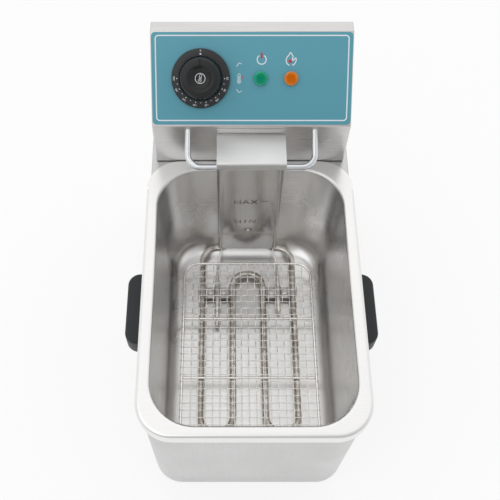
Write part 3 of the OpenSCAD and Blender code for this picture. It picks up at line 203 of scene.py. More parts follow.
def plastic(name, colour, rough, grain_scale=1800.0, bump=0.12, coat=0.0, shine=0.5):
    """Moulded plastic: fine spark-eroded grain and slightly uneven sheen."""
    m, tree, bsdf = new_material(name)
    fine = noise(tree, grain_scale)
    slow = noise(tree, 45.0, detail=3.0)
    dark = tuple(c * 0.88 for c in colour)
    light = tuple(min(1.0, c * 1.12 + 0.002) for c in colour)
    link(mix_colour(tree, slow, dark, light), bsdf, "Base Color")
    sheen = map_range(tree, fine, 0.2, 0.8, rough - 0.06, rough + 0.06)
    link(sheen, bsdf, "Roughness")
    set_inputs(bsdf, {"Specular IOR Level": shine, "Coat Weight": coat, "Coat Roughness": 0.12})
    add_bump(tree, bsdf, fine, bump, 0.0003)
    return m


def lens_material(name, colour, deep):
    """Coloured lens: clouded a little, under a clear gloss."""
    m, tree, bsdf = new_material(name)
    slow = noise(tree, 90.0)
    link(mix_colour(tree, slow, deep, colour), bsdf, "Base Color")
    set_inputs(bsdf, {"Roughness": 0.16, "Coat Weight": 0.5, "Coat Roughness": 0.06,
                      "Subsurface Weight": 0.08, "Subsurface Scale": 0.004,
                      "Subsurface Radius": (1, 1, 1)})
    return m


def sheath_material(name):
    """Heater tube: satin steel with brown heat stains."""
    m, tree, bsdf = new_material(name)
    stains = noise(tree, 170.0, (1, 0.35, 1), 6.0, 0.65)
    fine = noise(tree, 1500.0)
    base = mix_colour(tree, map_range(tree, stains, 0.38, 0.66, 0.0, 1.0),
                      (0.38, 0.335, 0.295), (0.70, 0.675, 0.64))
    link(base, bsdf, "Base Color")
    bsdf.inputs["Metallic"].default_value = 1.0
    link(map_range(tree, stains, 0.3, 0.7, 0.34, 0.18), bsdf, "Roughness")
    add_bump(tree, bsdf, fine, 0.1, 0.0003)
    return m


def fascia_material(name):
    """Printed film: even blue-green with a fine texture."""
    m, tree, bsdf = new_material(name)
    fine = noise(tree, 2200.0)
    slow = noise(tree, 9.0, rough=0.4)
    colour = mix_colour(tree, slow, (0.090, 0.325, 0.412), (0.106, 0.360, 0.450))
    link(colour, bsdf, "Base Color")
    link(map_range(tree, fine, 0.2, 0.8, 0.42, 0.56), bsdf, "Roughness")
    add_bump(tree, bsdf, fine, 0.08, 0.0002)
    return m


def print_material(name, colour):
    """Printed or stamped ink; the dark one also paints the shade ring round the leg's rivet."""
    m, tree, bsdf = new_material(name)
    fine = noise(tree, 1400.0)
    dark = tuple(c * 0.93 for c in colour)
    link(mix_colour(tree, fine, dark, colour), bsdf, "Base Color")
    bsdf.inputs["Roughness"].default_value = 0.5
    return m


GRAIN_X, GRAIN_Y, GRAIN_Z, NO_GRAIN = (0.02, 1, 1), (1, 0.02, 1), (1, 1, 0.02), (1, 1, 1)
M_HOUSING = steel("housing_steel", (0.62, 0.62, 0.615), (0.55, 0.55, 0.545), 0.34, GRAIN_Z)
M_PAN = steel("pan_steel", (0.85, 0.845, 0.835), (0.82, 0.815, 0.805), 0.29, GRAIN_X,
              bump=0.004, smudge=9.0, spread=0.03)
M_HEAD = steel("head_steel", (0.68, 0.67, 0.66), (0.60, 0.59, 0.58), 0.30, GRAIN_X)
M_ARM = steel("arm_steel", (0.60, 0.59, 0.575), (0.54, 0.53, 0.515), 0.17, GRAIN_Z,
              bump=0.02, spread=0.04)
M_TOP = steel("top_plate_steel", (0.80, 0.80, 0.79), (0.75, 0.75, 0.74), 0.50, GRAIN_X, bump=0.03)
M_PLATE = steel("plate_steel", (0.66, 0.66, 0.65), (0.58, 0.58, 0.57), 0.40, GRAIN_X)
M_WIRE = steel("wire_steel", (0.88, 0.86, 0.82), (0.78, 0.76, 0.72), 0.10, NO_GRAIN,
               scale=500.0, bump=0.02, spread=0.03)
M_RAIL = steel("rail_chrome", (0.74, 0.76, 0.78), (0.68, 0.70, 0.72), 0.06, NO_GRAIN,
               scale=300.0, bump=0.01, spread=0.02)
M_SCREW = steel("screw_steel", (0.74, 0.73, 0.71), (0.62, 0.61, 0.59), 0.28, NO_GRAIN, scale=1200.0)
M_BULB = steel("bulb_steel", (0.78, 0.76, 0.73), (0.66, 0.64, 0.61), 0.24, GRAIN_Y)
M_SHEATH = sheath_material("heater_sheath")
M_HANDLE = plastic("handle_plastic", (0.015, 0.018, 0.020), 0.50, 1400.0, 0.22, shine=0.4)
M_KNOB = plastic("knob_plastic", (0.008, 0.009, 0.0095), 0.34, 2200.0, 0.08, shine=0.4)
M_DIAL = plastic("dial_plastic", (0.018, 0.019, 0.021), 0.46, 2000.0, 0.14)
M_RUBBER = plastic("foot_rubber", (0.018, 0.018, 0.018), 0.75, 900.0, 0.3)
M_BLACK = plastic("black_moulding", (0.03, 0.03, 0.032), 0.5)
M_IVORY = plastic("insulator", (0.72, 0.68, 0.58), 0.55)
M_RED = plastic("red_moulding", (0.42, 0.02, 0.02), 0.3, coat=0.3)
M_GREEN = lens_material("lens_green", (0.0, 0.50, 0.29), (0.0, 0.30, 0.16))
M_ORANGE = lens_material("lens_orange", (0.88, 0.27, 0.0), (0.60, 0.12, 0.0))
M_FASCIA = fascia_material("fascia_print")
M_WHITE = print_material("print_white", (0.82, 0.88, 0.90))
M_PRINT_RED = print_material("print_red", (0.55, 0.02, 0.03))
# dark ink for the stamped level marks, and painted shade for the ring round the leg's rivet
M_STAMP_AND_SHADE = print_material("stamped_and_painted_shade_dark", (0.05, 0.047, 0.043))

SLOT_MATERIAL = {
    "housing_steel": M_HOUSING, "plate_steel": M_PLATE, "pan_steel": M_PAN, "arm_steel": M_ARM,
    "wire_chrome": M_WIRE, "screw_steel": M_SCREW, "element_sheath": M_SHEATH, "bulb_steel": M_BULB,
    "rubber": M_RUBBER, "handle_plastic": M_HANDLE, "knob_plastic": M_KNOB, "dial_plastic": M_DIAL,
    "switch_plastic": M_BLACK, "gland_plastic": M_BLACK, "insulator": M_IVORY, "button_red": M_RED,
    "fascia_blue": M_FASCIA, "lens_green": M_GREEN, "lens_orange": M_ORANGE,
}
for part in frame["record"]["subparts"]:
    mesh = nodes[part["node"]].data
    mesh.materials.clear()
    mesh.materials.append(SLOT_MATERIAL[part["material_slot"]])


# ---- mesh tools
def finish_piece(obj, material, body, replaced=(), angle=35.0):
    """Material, smooth shading up to an angle, and what the piece rides on and stands for."""
    obj.data.materials.clear()
    obj.data.materials.append(material)
    obj.data.shade_smooth()
    obj.data.set_sharp_from_angle(angle=math.radians(angle))
    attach(obj, body)
    if replaced:
        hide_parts(*replaced)


def add_object(name, data):
    obj = bpy.data.objects.new(name, data)
    bpy.context.scene.collection.objects.link(obj)
    return obj


def make_object(name, verts, faces):
    mesh = bpy.data.meshes.new(name)
    mesh.from_pydata([tuple(map(float, v)) for v in verts], [], [tuple(f) for f in faces])
    mesh.validate()
    mesh.update()
    return add_object(name, mesh)


def as_mesh(obj):
    bpy.context.view_layer.update()
    depsgraph = bpy.context.evaluated_depsgraph_get()
    return bpy.data.meshes.new_from_object(obj.evaluated_get(depsgraph))


def bake(obj):
    """Applies the modifiers to the mesh."""
    mesh = as_mesh(obj)
    obj.modifiers.clear()
    obj.data = mesh
    return obj


def outward(obj, fuse=0.0, guide=None, axis=(0, 0, 1)):
    """Turns the faces outward; an open sheet goes by its face with the largest guide value,
    which has to face along the axis. Points nearer than fuse become one."""
    bm = bmesh.new()
    bm.from_mesh(obj.data)
    if fuse:
        bmesh.ops.remove_doubles(bm, verts=bm.verts, dist=fuse)
    bmesh.ops.delete(bm, geom=[v for v in bm.verts if not v.link_faces], context="VERTS")
    bmesh.ops.recalc_face_normals(bm, faces=bm.faces)
    if guide and max(bm.faces, key=guide).normal.dot(axis) < 0:
        bmesh.ops.reverse_faces(bm, faces=bm.faces)
    bm.to_mesh(obj.data)
    bm.free()
    return obj


def loft(rings, closed=True, caps=(False, False), skip=None):
    """Faces between equal rings of points; skip(row, column) leaves a face out."""
    count = len(rings[0])
    verts = [p for ring in rings for p in ring]
    faces = []
    for row in range(len(rings) - 1):
        for col in range(count if closed else count - 1):
            if skip and skip(row, col):
                continue
            nxt = (col + 1) % count
            faces.append((row * count + col, row * count + nxt,
                          (row + 1) * count + nxt, (row + 1) * count + col))
    if caps[0]:
        faces.append(tuple(reversed(range(count))))
    if caps[1]:
        faces.append(tuple(range((len(rings) - 1) * count, len(rings) * count)))
    return verts, faces


def join_parts(parts):
    """Several (verts, faces) in one."""
    verts, faces = [], []
    for v, f in parts:
        base = len(verts)
        verts += list(v)
        faces += [tuple(i + base for i in face) for face in f]
    return verts, faces


# steps along each side and round each corner of an outline
SIDE_N, CORNER_N = 8, 12


def outline(w, d0, d1, r_front, r_rear, inset=0.0):
    """Rounded rectangle from the right side's front end, counter-clockwise, in (x, distance)."""
    hw, d0, d1 = w / 2 - inset, d0 + inset, d1 - inset
    rf, rr = max(r_front - inset, 0.2), max(r_rear - inset, 0.2)
    points = []

    def side(a, b):
        for i in range(SIDE_N):
            t = i / SIDE_N
            points.append((a[0] + (b[0] - a[0]) * t, a[1] + (b[1] - a[1]) * t))

    def corner(cx, cy, r, start):
        points.extend(arc((cx, cy), r, start, start + 90, CORNER_N)[:-1])

    side((hw, d0 + rf), (hw, d1 - rr))
    corner(hw - rr, d1 - rr, rr, 0)
    side((hw - rr, d1), (-hw + rr, d1))
    corner(-hw + rr, d1 - rr, rr, 90)
    side((-hw, d1 - rr), (-hw, d0 + rf))
    corner(-hw + rf, d0 + rf, rf, 180)
    side((-hw + rf, d0), (hw - rf, d0))
    corner(hw - rf, d0 + rf, rf, 270)
    return points


# columns of the rear side with its corners
REAR_FIRST, REAR_LAST = SIDE_N, 2 * SIDE_N + 2 * CORNER_N


def ring(points, h):
    return [at(x, d, h) for x, d in points]


def arc(centre, radius, start, end, steps):
    """Points on an arc, angles in degrees."""
    out = []
    for i in range(steps + 1):
        a = math.radians(start + (end - start) * i / steps)
        out.append((centre[0] + radius * math.cos(a), centre[1] + radius * math.sin(a)))
    return out


def oblong(x0, x1, y0, y1):
    return [(x0, y0), (x1, y0), (x1, y1), (x0, y1)]


def disc(cx, cy, r):
    return arc((cx, cy), r, 0, 337.5, 15)


def rounded_plan(x0, x1, y0, y1, r, steps=8):
    """Rounded rectangle, from the right side's rear end."""
    return (arc((x1 - r, y1 - r), r, 0, 90, steps) + arc((x0 + r, y1 - r), r, 90, 180, steps)
            + arc((x0 + r, y0 + r), r, 180, 270, steps) + arc((x1 - r, y0 + r), r, 270, 360, steps))


def d_plan(x0, x1, y0, y1, r):
    """Rectangle with its two corners at x1 rounded."""
    return ([(x0, y0)] + arc((x1 - r, y0 + r), r, -90, 0, 12)
            + arc((x1 - r, y1 - r), r, 0, 90, 12) + [(x0, y1)])


def rounded(points, radii, steps):
    """Line with a round bend at each inner corner; steps(turn) says how finely."""
    pts = [np.array(p, float) for p in points]
    out = [pts[0]]
    for a, b, c, r in zip(pts, pts[1:], pts[2:], radii):
        u, v = (b - a) / np.linalg.norm(b - a), (c - b) / np.linalg.norm(c - b)
        turn = math.acos(max(-1.0, min(1.0, float(u @ v))))
        if turn < 1e-4:
            continue
        n = v - u * float(u @ v)
        n /= np.linalg.norm(n)
        centre = b - u * r * math.tan(turn / 2) + n * r
        for t in np.linspace(0, turn, steps(turn) + 1):
            out.append(centre - n * r * math.cos(t) + u * r * math.sin(t))
    return out + [pts[-1]]


def bent_rod(points, radii, step, radius, sides):
    """Rod with bends of radii in mm, cut up every step degrees."""
    line = rounded(points, [r / 1000 for r in radii],
                   lambda turn: max(2, int(math.degrees(turn) / step)))
    return tube(line, radius, sides)


def directions(points, closed=False):
    """Direction of a line at each of its points, from the points beside it."""
    n = len(points)
    out = []
    for i in range(n):
        a = points[(i - 1) % n if closed else max(i - 1, 0)]
        b = points[(i + 1) % n if closed else min(i + 1, n - 1)]
        out.append((b - a) / max(np.linalg.norm(b - a), 1e-9))
    return out


def full_turn(count):
    """Equal angles round a circle."""
    return np.linspace(0, 2 * math.pi, count, endpoint=False)


def tube(points, radius, sides=12, closed=False):
    """Round tube along the points; radius in mm, or one for each point."""
    pts = [np.array(p, float) for p in points]
    n = len(pts)
    radii = radius if hasattr(radius, "__len__") else [radius] * n
    tangents = directions(pts, closed)
    up = np.array([0, 0, 1.0]) if abs(tangents[0][2]) < 0.8 else np.array([1.0, 0, 0])
    side = np.cross(up, tangents[0])
    side /= np.linalg.norm(side)
    rings = []
    for i in range(n):
        side = side - tangents[i] * float(side @ tangents[i])
        side /= np.linalg.norm(side)
        other = np.cross(tangents[i], side)
        rings.append([pts[i] + (side * math.cos(a) + other * math.sin(a)) * radii[i] / 1000
                      for a in full_turn(sides)])
    if closed:
        rings.append(rings[0])
        verts, faces = loft(rings)
        keep = n * sides
        faces = [tuple(i - keep if i >= keep else i for i in f) for f in faces]
        return verts[:keep], faces
    return loft(rings, caps=(True, True))


def lathe(profile, place, segments=64):
    """Turned shape; profile in (radius, height) and place(x, y, z) in mm."""
    return loft([[place(r * math.cos(a), r * math.sin(a), z) for a in full_turn(segments)]
                 for r, z in profile])


def turned(points, angle):
    """Flat points turned about the origin; the angle in radians."""
    c, s = math.cos(angle), math.sin(angle)
    return [(x * c - y * s, x * s + y * c) for x, y in points]


def prism(plan, place, levels):
    """Closed solid over a flat outline, between two levels."""
    return loft([[place(x, y, z) for x, y in plan] for z in levels], caps=(True, True))


def box_mesh(lo, hi):
    """Closed box between two corners."""
    (x0, y0, z0), (x1, y1, z1) = lo, hi
    return prism(oblong(x0, x1, y0, y1), lambda x, y, z: (x, y, z), (z0, z1))


def solidify(obj, thickness, even=True):
    """Gives an open sheet its thickness, on its inner side."""
    m = obj.modifiers.new("sheet", "SOLIDIFY")
    m.thickness = thickness / 1000.0
    m.offset = -1.0
    m.use_even_offset = even
    bake(obj)


def soften(obj, width, segments=3, angle=30.0):
    """Rounds the edges that are sharper than the angle."""
    m = obj.modifiers.new("edges", "BEVEL")
    m.width = width / 1000.0
    m.segments = segments
    m.limit_method = "ANGLE"
    m.angle_limit = math.radians(angle)
    m.harden_normals = False
    return bake(obj)


def cut_out(obj, cutters):
    """Takes boxes or rods away from a closed mesh."""
    for k, (v, f) in enumerate(cutters):
        tool = outward(make_object(f"cutter_{k}", v, f))
        m = obj.modifiers.new("cut", "BOOLEAN")
        m.operation = "DIFFERENCE"
        m.solver = "EXACT"
        m.object = tool
        bake(obj)
        bpy.data.objects.remove(tool)


# ---- pan
def build_pan():
    def outer(inset):
        return outline(FLANGE_W, FLANGE_FRONT, FLANGE_BACK, FLANGE_R, FLANGE_R, inset)

    def bowl(grow):
        return outline(PAN_W, PAN_FRONT, PAN_BACK, PAN_R, PAN_R, -grow)

    # lip, from its lower edge up and over the bend, then the flange and the bowl
    full = ring(outer(0), 0)
    lip = [(0.0, -LIP_H), (0.0, -LIP_H * 0.6)]
    lip += [(LIP_R - LIP_R * math.cos(t), -LIP_R + LIP_R * math.sin(t))
            for t in np.radians(FINE_ROUND[:-1])]
    rows = [ring(outer(inset), h) for inset, h in lip]
    # the rear side and its corners have no lip, so the flange goes on to its full outline
    edge = ring(outer(LIP_R), 0)
    rows.append([full[i] if REAR_FIRST < i < REAR_LAST else edge[i] for i in range(len(edge))])
    rows.append(ring(outer(LIP_R + 2.0), 0))
    rows.append(ring(bowl(RIM_R + 1.5), 0))
    for t in np.radians(FINE_ROUND):
        rows.append(ring(bowl(RIM_R - RIM_R * math.sin(t)), -RIM_R + RIM_R * math.cos(t)))
    centre_h = -PAN_H + PAN_FLOOR_R
    centre_x = ((centre_h + RIM_R) * math.sin(DRAFT) - PAN_FLOOR_R) / math.cos(DRAFT)
    wall_end = (centre_x + PAN_FLOOR_R * math.cos(DRAFT), centre_h - PAN_FLOOR_R * math.sin(DRAFT))
    for k in range(1, 10):
        t = k / 10
        rows.append(ring(bowl(wall_end[0] * t), -RIM_R + (wall_end[1] + RIM_R) * t))
    for k in range(0, 11):
        t = -DRAFT - (math.pi / 2 - DRAFT) * k / 10
        rows.append(ring(bowl(centre_x + PAN_FLOOR_R * math.cos(t)),
                         centre_h + PAN_FLOOR_R * math.sin(t)))
    floor = bowl(centre_x)
    mid = (PAN_FRONT + PAN_BACK) / 2
    for k in (0.8, 0.55, 0.3):
        rows.append(ring([(x * k, mid + (d - mid) * k) for x, d in floor], -PAN_H))
    lip_rows = len(lip)
    verts, faces = loft(rows, caps=(False, True),
                        skip=lambda row, col: row < lip_rows and REAR_FIRST <= col < REAR_LAST)
    pan = outward(make_object("pan_shell", verts, faces), guide=lambda f: f.calc_area())
    solidify(pan, SHEET)
    finish_piece(pan, M_PAN, "pan", ["oil_pan"], 50)


build_pan()


# ---- housing
def build_housing():
    def outer(inset):
        return outline(HOUSING_W, 0, HOUSING_D, HOUSING_FRONT_R, HOUSING_REAR_R, inset)

    low, top, r = HOUSING_LOW - RIM, DECK - RIM, EDGE_R
    # from the fold under the wrap, up its side and over the deck to the pan's well
    rows = [ring(outer(FOLD_W), low), ring(outer(r), low)]
    for t in np.radians(ROUND[1:]):
        rows.append(ring(outer(r - r * math.sin(t)), low + r - r * math.cos(t)))
    for k in (0.33, 0.66):
        rows.append(ring(outer(0), low + (top - low) * k))
    for t in np.radians(ROUND):
        rows.append(ring(outer(r - r * math.cos(t)), top - r + r * math.sin(t)))
    rows.append(ring(outline(PAN_W, PAN_FRONT, PAN_BACK, PAN_R, PAN_R, -WELL_GAP), top))

    def front(face):
        return -face.calc_center_median().y * (abs(face.normal.y) > 0.9)

    shell = outward(make_object("housing_wrap", *loft(rows)), guide=front, axis=(0, -1, 0))
    solidify(shell, SHEET)
    slots = []
    for x in (-SLOT_X, SLOT_X):
        slots.append(box_mesh(at(x - SLOT_W / 2, SLOT_FRONT, -4), at(x + SLOT_W / 2, SLOT_BACK, 2)))
    cut_out(shell, slots)
    finish_piece(shell, M_HOUSING, "housing", ["outer_housing"], 40)


build_housing()


def build_handle(side):
    """D-shaped grip with soft edges and a finger pocket from below."""
    z0 = HANDLE_TOP_Z - HANDLE_H

    def plan(inset):
        return d_plan(0.0, HANDLE_OUT - inset, inset, HANDLE_L - inset, max(HANDLE_R - inset, 0.4))

    def pocket(inset):
        return d_plan(POCKET_WALL + inset, POCKET_OUT - inset, POCKET_END + inset,
                      HANDLE_L - POCKET_END - inset, POCKET_R)

    def level(points, z):
        return [np.array([side * (HOUSING_W / 2 + x), y + HANDLE_FRONT - MIDDLE, z]) / 1000
                for x, y in points]

    rows = [level(pocket(inset), z0 + up)
            for inset, up in ((2.0, 19.0), (0.6, 18.4), (0.0, 17.0), (0.0, 1.0), (-0.5, 0.0))]
    low_r, top_r = 2.0, 3.2
    for t in np.radians(ROUND):
        rows.append(level(plan(low_r - low_r * math.sin(t)), z0 + low_r - low_r * math.cos(t)))
    for t in np.radians(FINE_ROUND):
        rows.append(level(plan(top_r - top_r * math.cos(t)),
                          HANDLE_TOP_Z - top_r + top_r * math.sin(t)))
    name = "right" if side > 0 else "left"
    grip = outward(make_object(f"handle_grip_{name}", *loft(rows, caps=(True, True))))
    finish_piece(grip, M_HANDLE, "housing", [f"side_handle_{name}"], 40)


build_handle(-1)
build_handle(1)


# ---- control head
def build_head():
    profile = rounded([(HEAD_FRONT, HEAD_LOW), (HEAD_FRONT, HEAD_FACE),
                       (HEAD_BACK - HEAD_TOP_D, HEAD_H), (HEAD_BACK, HEAD_H)],
                      [2.0, 2.0], lambda turn: 5)
    profile[1:1] = [(HEAD_FRONT, 20.0), (HEAD_FRONT, 40.0)]

    def inset_profile(g):
        """The outline moved inward by g, with its ends kept on their lines."""
        pts = [np.array(p) for p in profile]
        out = [p + np.array([t[1], -t[0]]) * g for p, t in zip(pts, directions(pts))]
        out[0][1] = HEAD_LOW
        out[-1][0] = HEAD_BACK
        return [tuple(p) for p in out]

    half, edge = HEAD_W / 2, EDGE_R
    stations = []
    for t in np.radians((0, 22.5, 45, 67.5, 90)):
        stations.append((half - edge + edge * math.cos(t), edge - edge * math.sin(t)))
    stations = stations + [(-x, g) for x, g in reversed(stations)]
    rows = []
    for x, g in stations:
        line = inset_profile(g)
        rows.append([at(x, HEAD_BACK, HEAD_LOW)] + [at(x, d, h) for d, h in line])
    verts, faces = loft(rows, closed=False, caps=(True, True), skip=lambda row, col: col == 0)
    shell = outward(make_object("head_shell", verts, faces),
                    guide=lambda f: f.calc_area() * (abs(f.normal.x) < 0.1))
    solidify(shell, SHEET)
    finish_piece(shell, M_HEAD, "head", ["head_casing"], 40)


build_head()


def slope_plan(points, out):
    return [slope(x, s, out) for x, s in points]


def build_fascia():
    s0, s1, half = FASCIA_LOW, SLOPE_L - FASCIA_HIGH, FASCIA_W / 2
    rows = []
    for inset, out in ((0, 0.0), (0, FASCIA_T - 0.25), (0.08, FASCIA_T - 0.08), (0.3, FASCIA_T)):
        plan = rounded_plan(-half + inset, half - inset, s0 + inset, s1 - inset, FASCIA_R - inset)
        rows.append(slope_plan(plan, out))
    panel = outward(make_object("fascia_skin", *loft(rows, caps=(True, True))))
    finish_piece(panel, M_FASCIA, "head", ["fascia_panel"], 30)
    outer, inner = (rounded_plan(-BORDER_X + w, BORDER_X - w, BORDER_LOW + w, BORDER_HIGH - w,
                                 BORDER_R - w) for w in (0.0, BORDER_W))
    low, high = FASCIA_T - INK_SUNK, FASCIA_T + INK_T
    rows = [slope_plan(plan, out) for plan, out in
            ((inner, low), (inner, high), (outer, high), (outer, low), (inner, low))]
    line = outward(make_object("fascia_border", *loft(rows)))
    finish_piece(line, M_WHITE, "head")


build_fascia()


def stroke(points, width, closed=False):
    """Flat stroke of a width along 2D points, as a list of left and right points."""
    pts = [np.array(p, float) for p in points]
    left, right = [], []
    for p, t in zip(pts, directions(pts, closed)):
        m = np.array([-t[1], t[0]]) * width / 2
        left.append(p + m)
        right.append(p - m)
    return left, right


def printed(name, strokes, fills, place, material, body, thick=INK_T):
    """Print on a surface: strokes are (points, width, closed), fills are outlines."""
    parts = []
    for points, width, closed in strokes:
        left, right = stroke(points, width, closed)
        rows = [[place(*p, out) for p in side] for side, out in
                ((right, -INK_SUNK), (right, thick), (left, thick), (left, -INK_SUNK))]
        verts, faces = loft(rows + [rows[0]], closed=closed)
        count = len(left)
        if not closed:
            faces.append(tuple(k * count for k in range(4)))
            faces.append(tuple(k * count + count - 1 for k in reversed(range(4))))
        parts.append((verts, faces))
    parts += [prism(points, place, (-INK_SUNK, thick)) for points in fills]
    obj = outward(make_object(name, *join_parts(parts)), FUSE)
    finish_piece(obj, material, body)


def on_fascia(x, s, out):
    return slope(x, s, FASCIA_T + out)


def smooth_line(points):
    """Catmull-Rom line through the points."""
    pts = [np.array(p, float) for p in points]
    pts = [2 * pts[0] - pts[1]] + pts + [2 * pts[-1] - pts[-2]]
    out = []
    for i in range(1, len(pts) - 2):
        p0, p1, p2, p3 = pts[i - 1:i + 3]
        for t in (0.0, 0.2, 0.4, 0.6, 0.8):
            out.append(0.5 * ((2 * p1) + (-p0 + p2) * t + (2 * p0 - 5 * p1 + 4 * p2 - p3) * t * t
                              + (-p0 + 3 * p1 - 3 * p2 + p3) * t ** 3))
    out.append(pts[-2])
    return out


def build_icons():
    white, red_fill = [], []
    # power sign over the green lamp
    px, py = GREEN_X + 0.9, 63.0
    white.append((arc((px, py), 4.3, 122, 418, 36), 0.95, False))
    red_fill.append(oblong(px - 0.8, px + 0.8, py + 0.8, py + 6.3))
    # flame over the orange lamp
    fx, fy = ORANGE_X - 0.4, 62.9
    for tongue in ([(-1.4, -5.3), (-3.6, -3.8), (-4.6, -1.0), (-4.0, 2.0), (-2.0, 4.3),
                    (-0.7, 6.9)],
                   [(-0.7, 6.9), (0.9, 4.9), (2.0, 2.6), (1.1, 0.6), (1.9, -0.6), (3.2, 0.4),
                    (4.7, 1.9)],
                   [(4.7, 1.9), (4.9, -0.8), (3.7, -3.6), (1.3, -5.3)]):
        white.append(([(fx + a, fy + b) for a, b in smooth_line(tongue)], 0.9, False))
    drop = [(-2.5, -2.6), (-2.6, -1.0), (-1.2, 0.1), (-0.7, 1.3), (0.1, -0.6), (1.3, -2.2),
            (0.3, -3.0)]
    red_fill.append([(fx + a, fy + b) for a, b in drop])
    # temperature marks beside the dial
    tx = -12.3
    capsule = arc((tx, 48.8), 1.1, 0, 180, 8) + arc((tx, 42.6), 1.7, 130, 410, 14)
    white += [([(tx - 2.4, 56.6), (tx, 59.9), (tx + 2.4, 58.9)], 0.6, False),
              ([(tx - 2.4, 35.4), (tx, 32.2), (tx + 2.4, 33.8)], 0.6, False),
              (capsule, 0.45, True)]
    white_fill = [disc(tx, 42.6, 0.8), oblong(tx - 0.3, tx + 0.3, 43.0, 47.6)]
    red_fill.append(oblong(tx + 2.5, tx + 3.4, 44.8, 48.0))
    printed("fascia_signs", white, white_fill, on_fascia, M_WHITE, "head")
    printed("fascia_signs_red", [], red_fill, on_fascia, M_PRINT_RED, "head")


build_icons()


# ---- dial and knob
def control(x0):
    """Places about a control's axis, from the slope outward."""
    return lambda x, y, z: slope(x0 + x, CONTROL_S + y, z)


about_knob = control(KNOB_X)


def build_dial():
    inner, z0, top = GRIP_R + 0.6, FASCIA_T, FASCIA_T + DIAL_H
    profile = [(inner, z0), (DIAL_R, z0), (DIAL_R, top - 2.2), (DIAL_R - 0.15, top - 1.7),
               (DIAL_R - 0.5, top - 1.2), (DIAL_R - DIAL_EDGE, top - 0.85),
               (inner + 0.5, top - 0.05), (inner + 0.2, top - 0.12), (inner, top - 0.4),
               (inner, z0)]
    obj = outward(make_object("dial_skirt", *lathe(profile, about_knob, 96)))
    finish_piece(obj, M_DIAL, "head", ["dial_ring"], 25)

    fall = DIAL_FALL / (DIAL_R - DIAL_EDGE - inner - 0.5)

    def face(x, y, out):
        """A place on the dial's face, which falls away to its edge."""
        return about_knob(x, y, top - 0.08 - (math.hypot(x, y) - inner - 0.5) * fall + out)

    dots = []
    for k in range(15):
        a = -math.pi / 14 * k
        dots.append(disc(DOT_RING * math.cos(a), DOT_RING * math.sin(a), 0.42 if k % 2 else 0.52))
    dots.append(disc(0, DOT_RING - 0.1, 0.8))
    printed("dial_dots", [], dots, face, M_WHITE, "head", 0.06)

    labels = [(str(60 + 20 * k), -180 / 7 * k, NUMBER_RING) for k in range(8)]
    for label, angle, radius in labels + [("0", 90.0, NUMBER_RING + 0.2)]:
        font = bpy.data.curves.new(f"label_{label}", "FONT")
        font.body, font.size, font.resolution_u = label, NUMBER_SIZE / 1000, 3
        font.align_x, font.align_y = "CENTER", "CENTER"
        temp = add_object("label", font)
        flat = as_mesh(temp)
        bpy.data.objects.remove(temp)
        a = math.radians(angle - 90)
        verts = []
        for v in flat.vertices:
            x, y = v.co.x * 1000, radius + v.co.y * 1000
            verts.append(face(*turned([(x, y)], a)[0], 0.05))
        obj = make_object(f"dial_number_{label}", verts, [tuple(p.vertices) for p in flat.polygons])
        solidify(obj, 0.06, even=False)
        finish_piece(obj, M_WHITE, "head")


build_dial()


def build_knob():
    r, top, floor = GRIP_R, GRIP_H, GRIP_H - RECESS_DEEP
    profile = [(0, GRIP_LIFT), (r - 0.6, GRIP_LIFT), (r, GRIP_LIFT + 0.6), (r, 9.0),
               (r - 0.25, 14.0), (r - 0.55, 18.0), (r - 1.0, 20.6), (r - 1.5, 21.8),
               (r - 2.4, 22.8), (r - 3.6, 23.45), (r - 5.2, 23.85)]
    profile += [(RECESS_R + out, top - down) for out, down in
                ((1.6, 0.0), (0.7, 0.1), (0.1, 0.5), (-0.6, 1.3), (-2.2, 2.6), (-3.6, 3.35),
                 (-4.6, RECESS_DEEP))] + [(0, floor)]
    rings = []
    for radius, z in profile:
        fluted = radius > r - 1.2 and 4.5 < z < 21
        row = []
        for a in full_turn(4 * FLUTES):
            b = radius - (FLUTE_DEEP * (0.5 - 0.5 * math.cos(a * FLUTES)) if fluted else 0.0)
            row.append(about_knob(b * math.cos(a), b * math.sin(a), z))
        rings.append(row)
    obj = outward(make_object("knob_grip", *loft(rings)), 10 * FUSE)
    # pointer line from the recess out over the edge
    corners = oblong(-POINTER_W / 2, POINTER_W / 2, RECESS_R + 0.6, r + 1.0)
    cut_out(obj, [prism(corners, about_knob, (top - POINTER_DEEP, top + 1))])
    finish_piece(obj, M_KNOB, "knob", ["thermostat_knob"], 30)

    def cap(x, y, out):
        return about_knob(x, y, floor + out)

    # ring with a thermometer in it
    border = (arc((0, 0), 4.6, 0, 355, 71), 0.5, True)
    lean = math.radians(-12)
    stem = turned(arc((0, 2.7), 0.95, 0, 180, 8) + arc((0, -2.2), 1.35, 130, 410, 14), lean)
    core = turned(oblong(-0.2, 0.2, -2.2, 1.6), lean)
    printed("knob_sign", [border, (stem, 0.36, True)], [core], cap, M_WHITE, "knob")


build_knob()


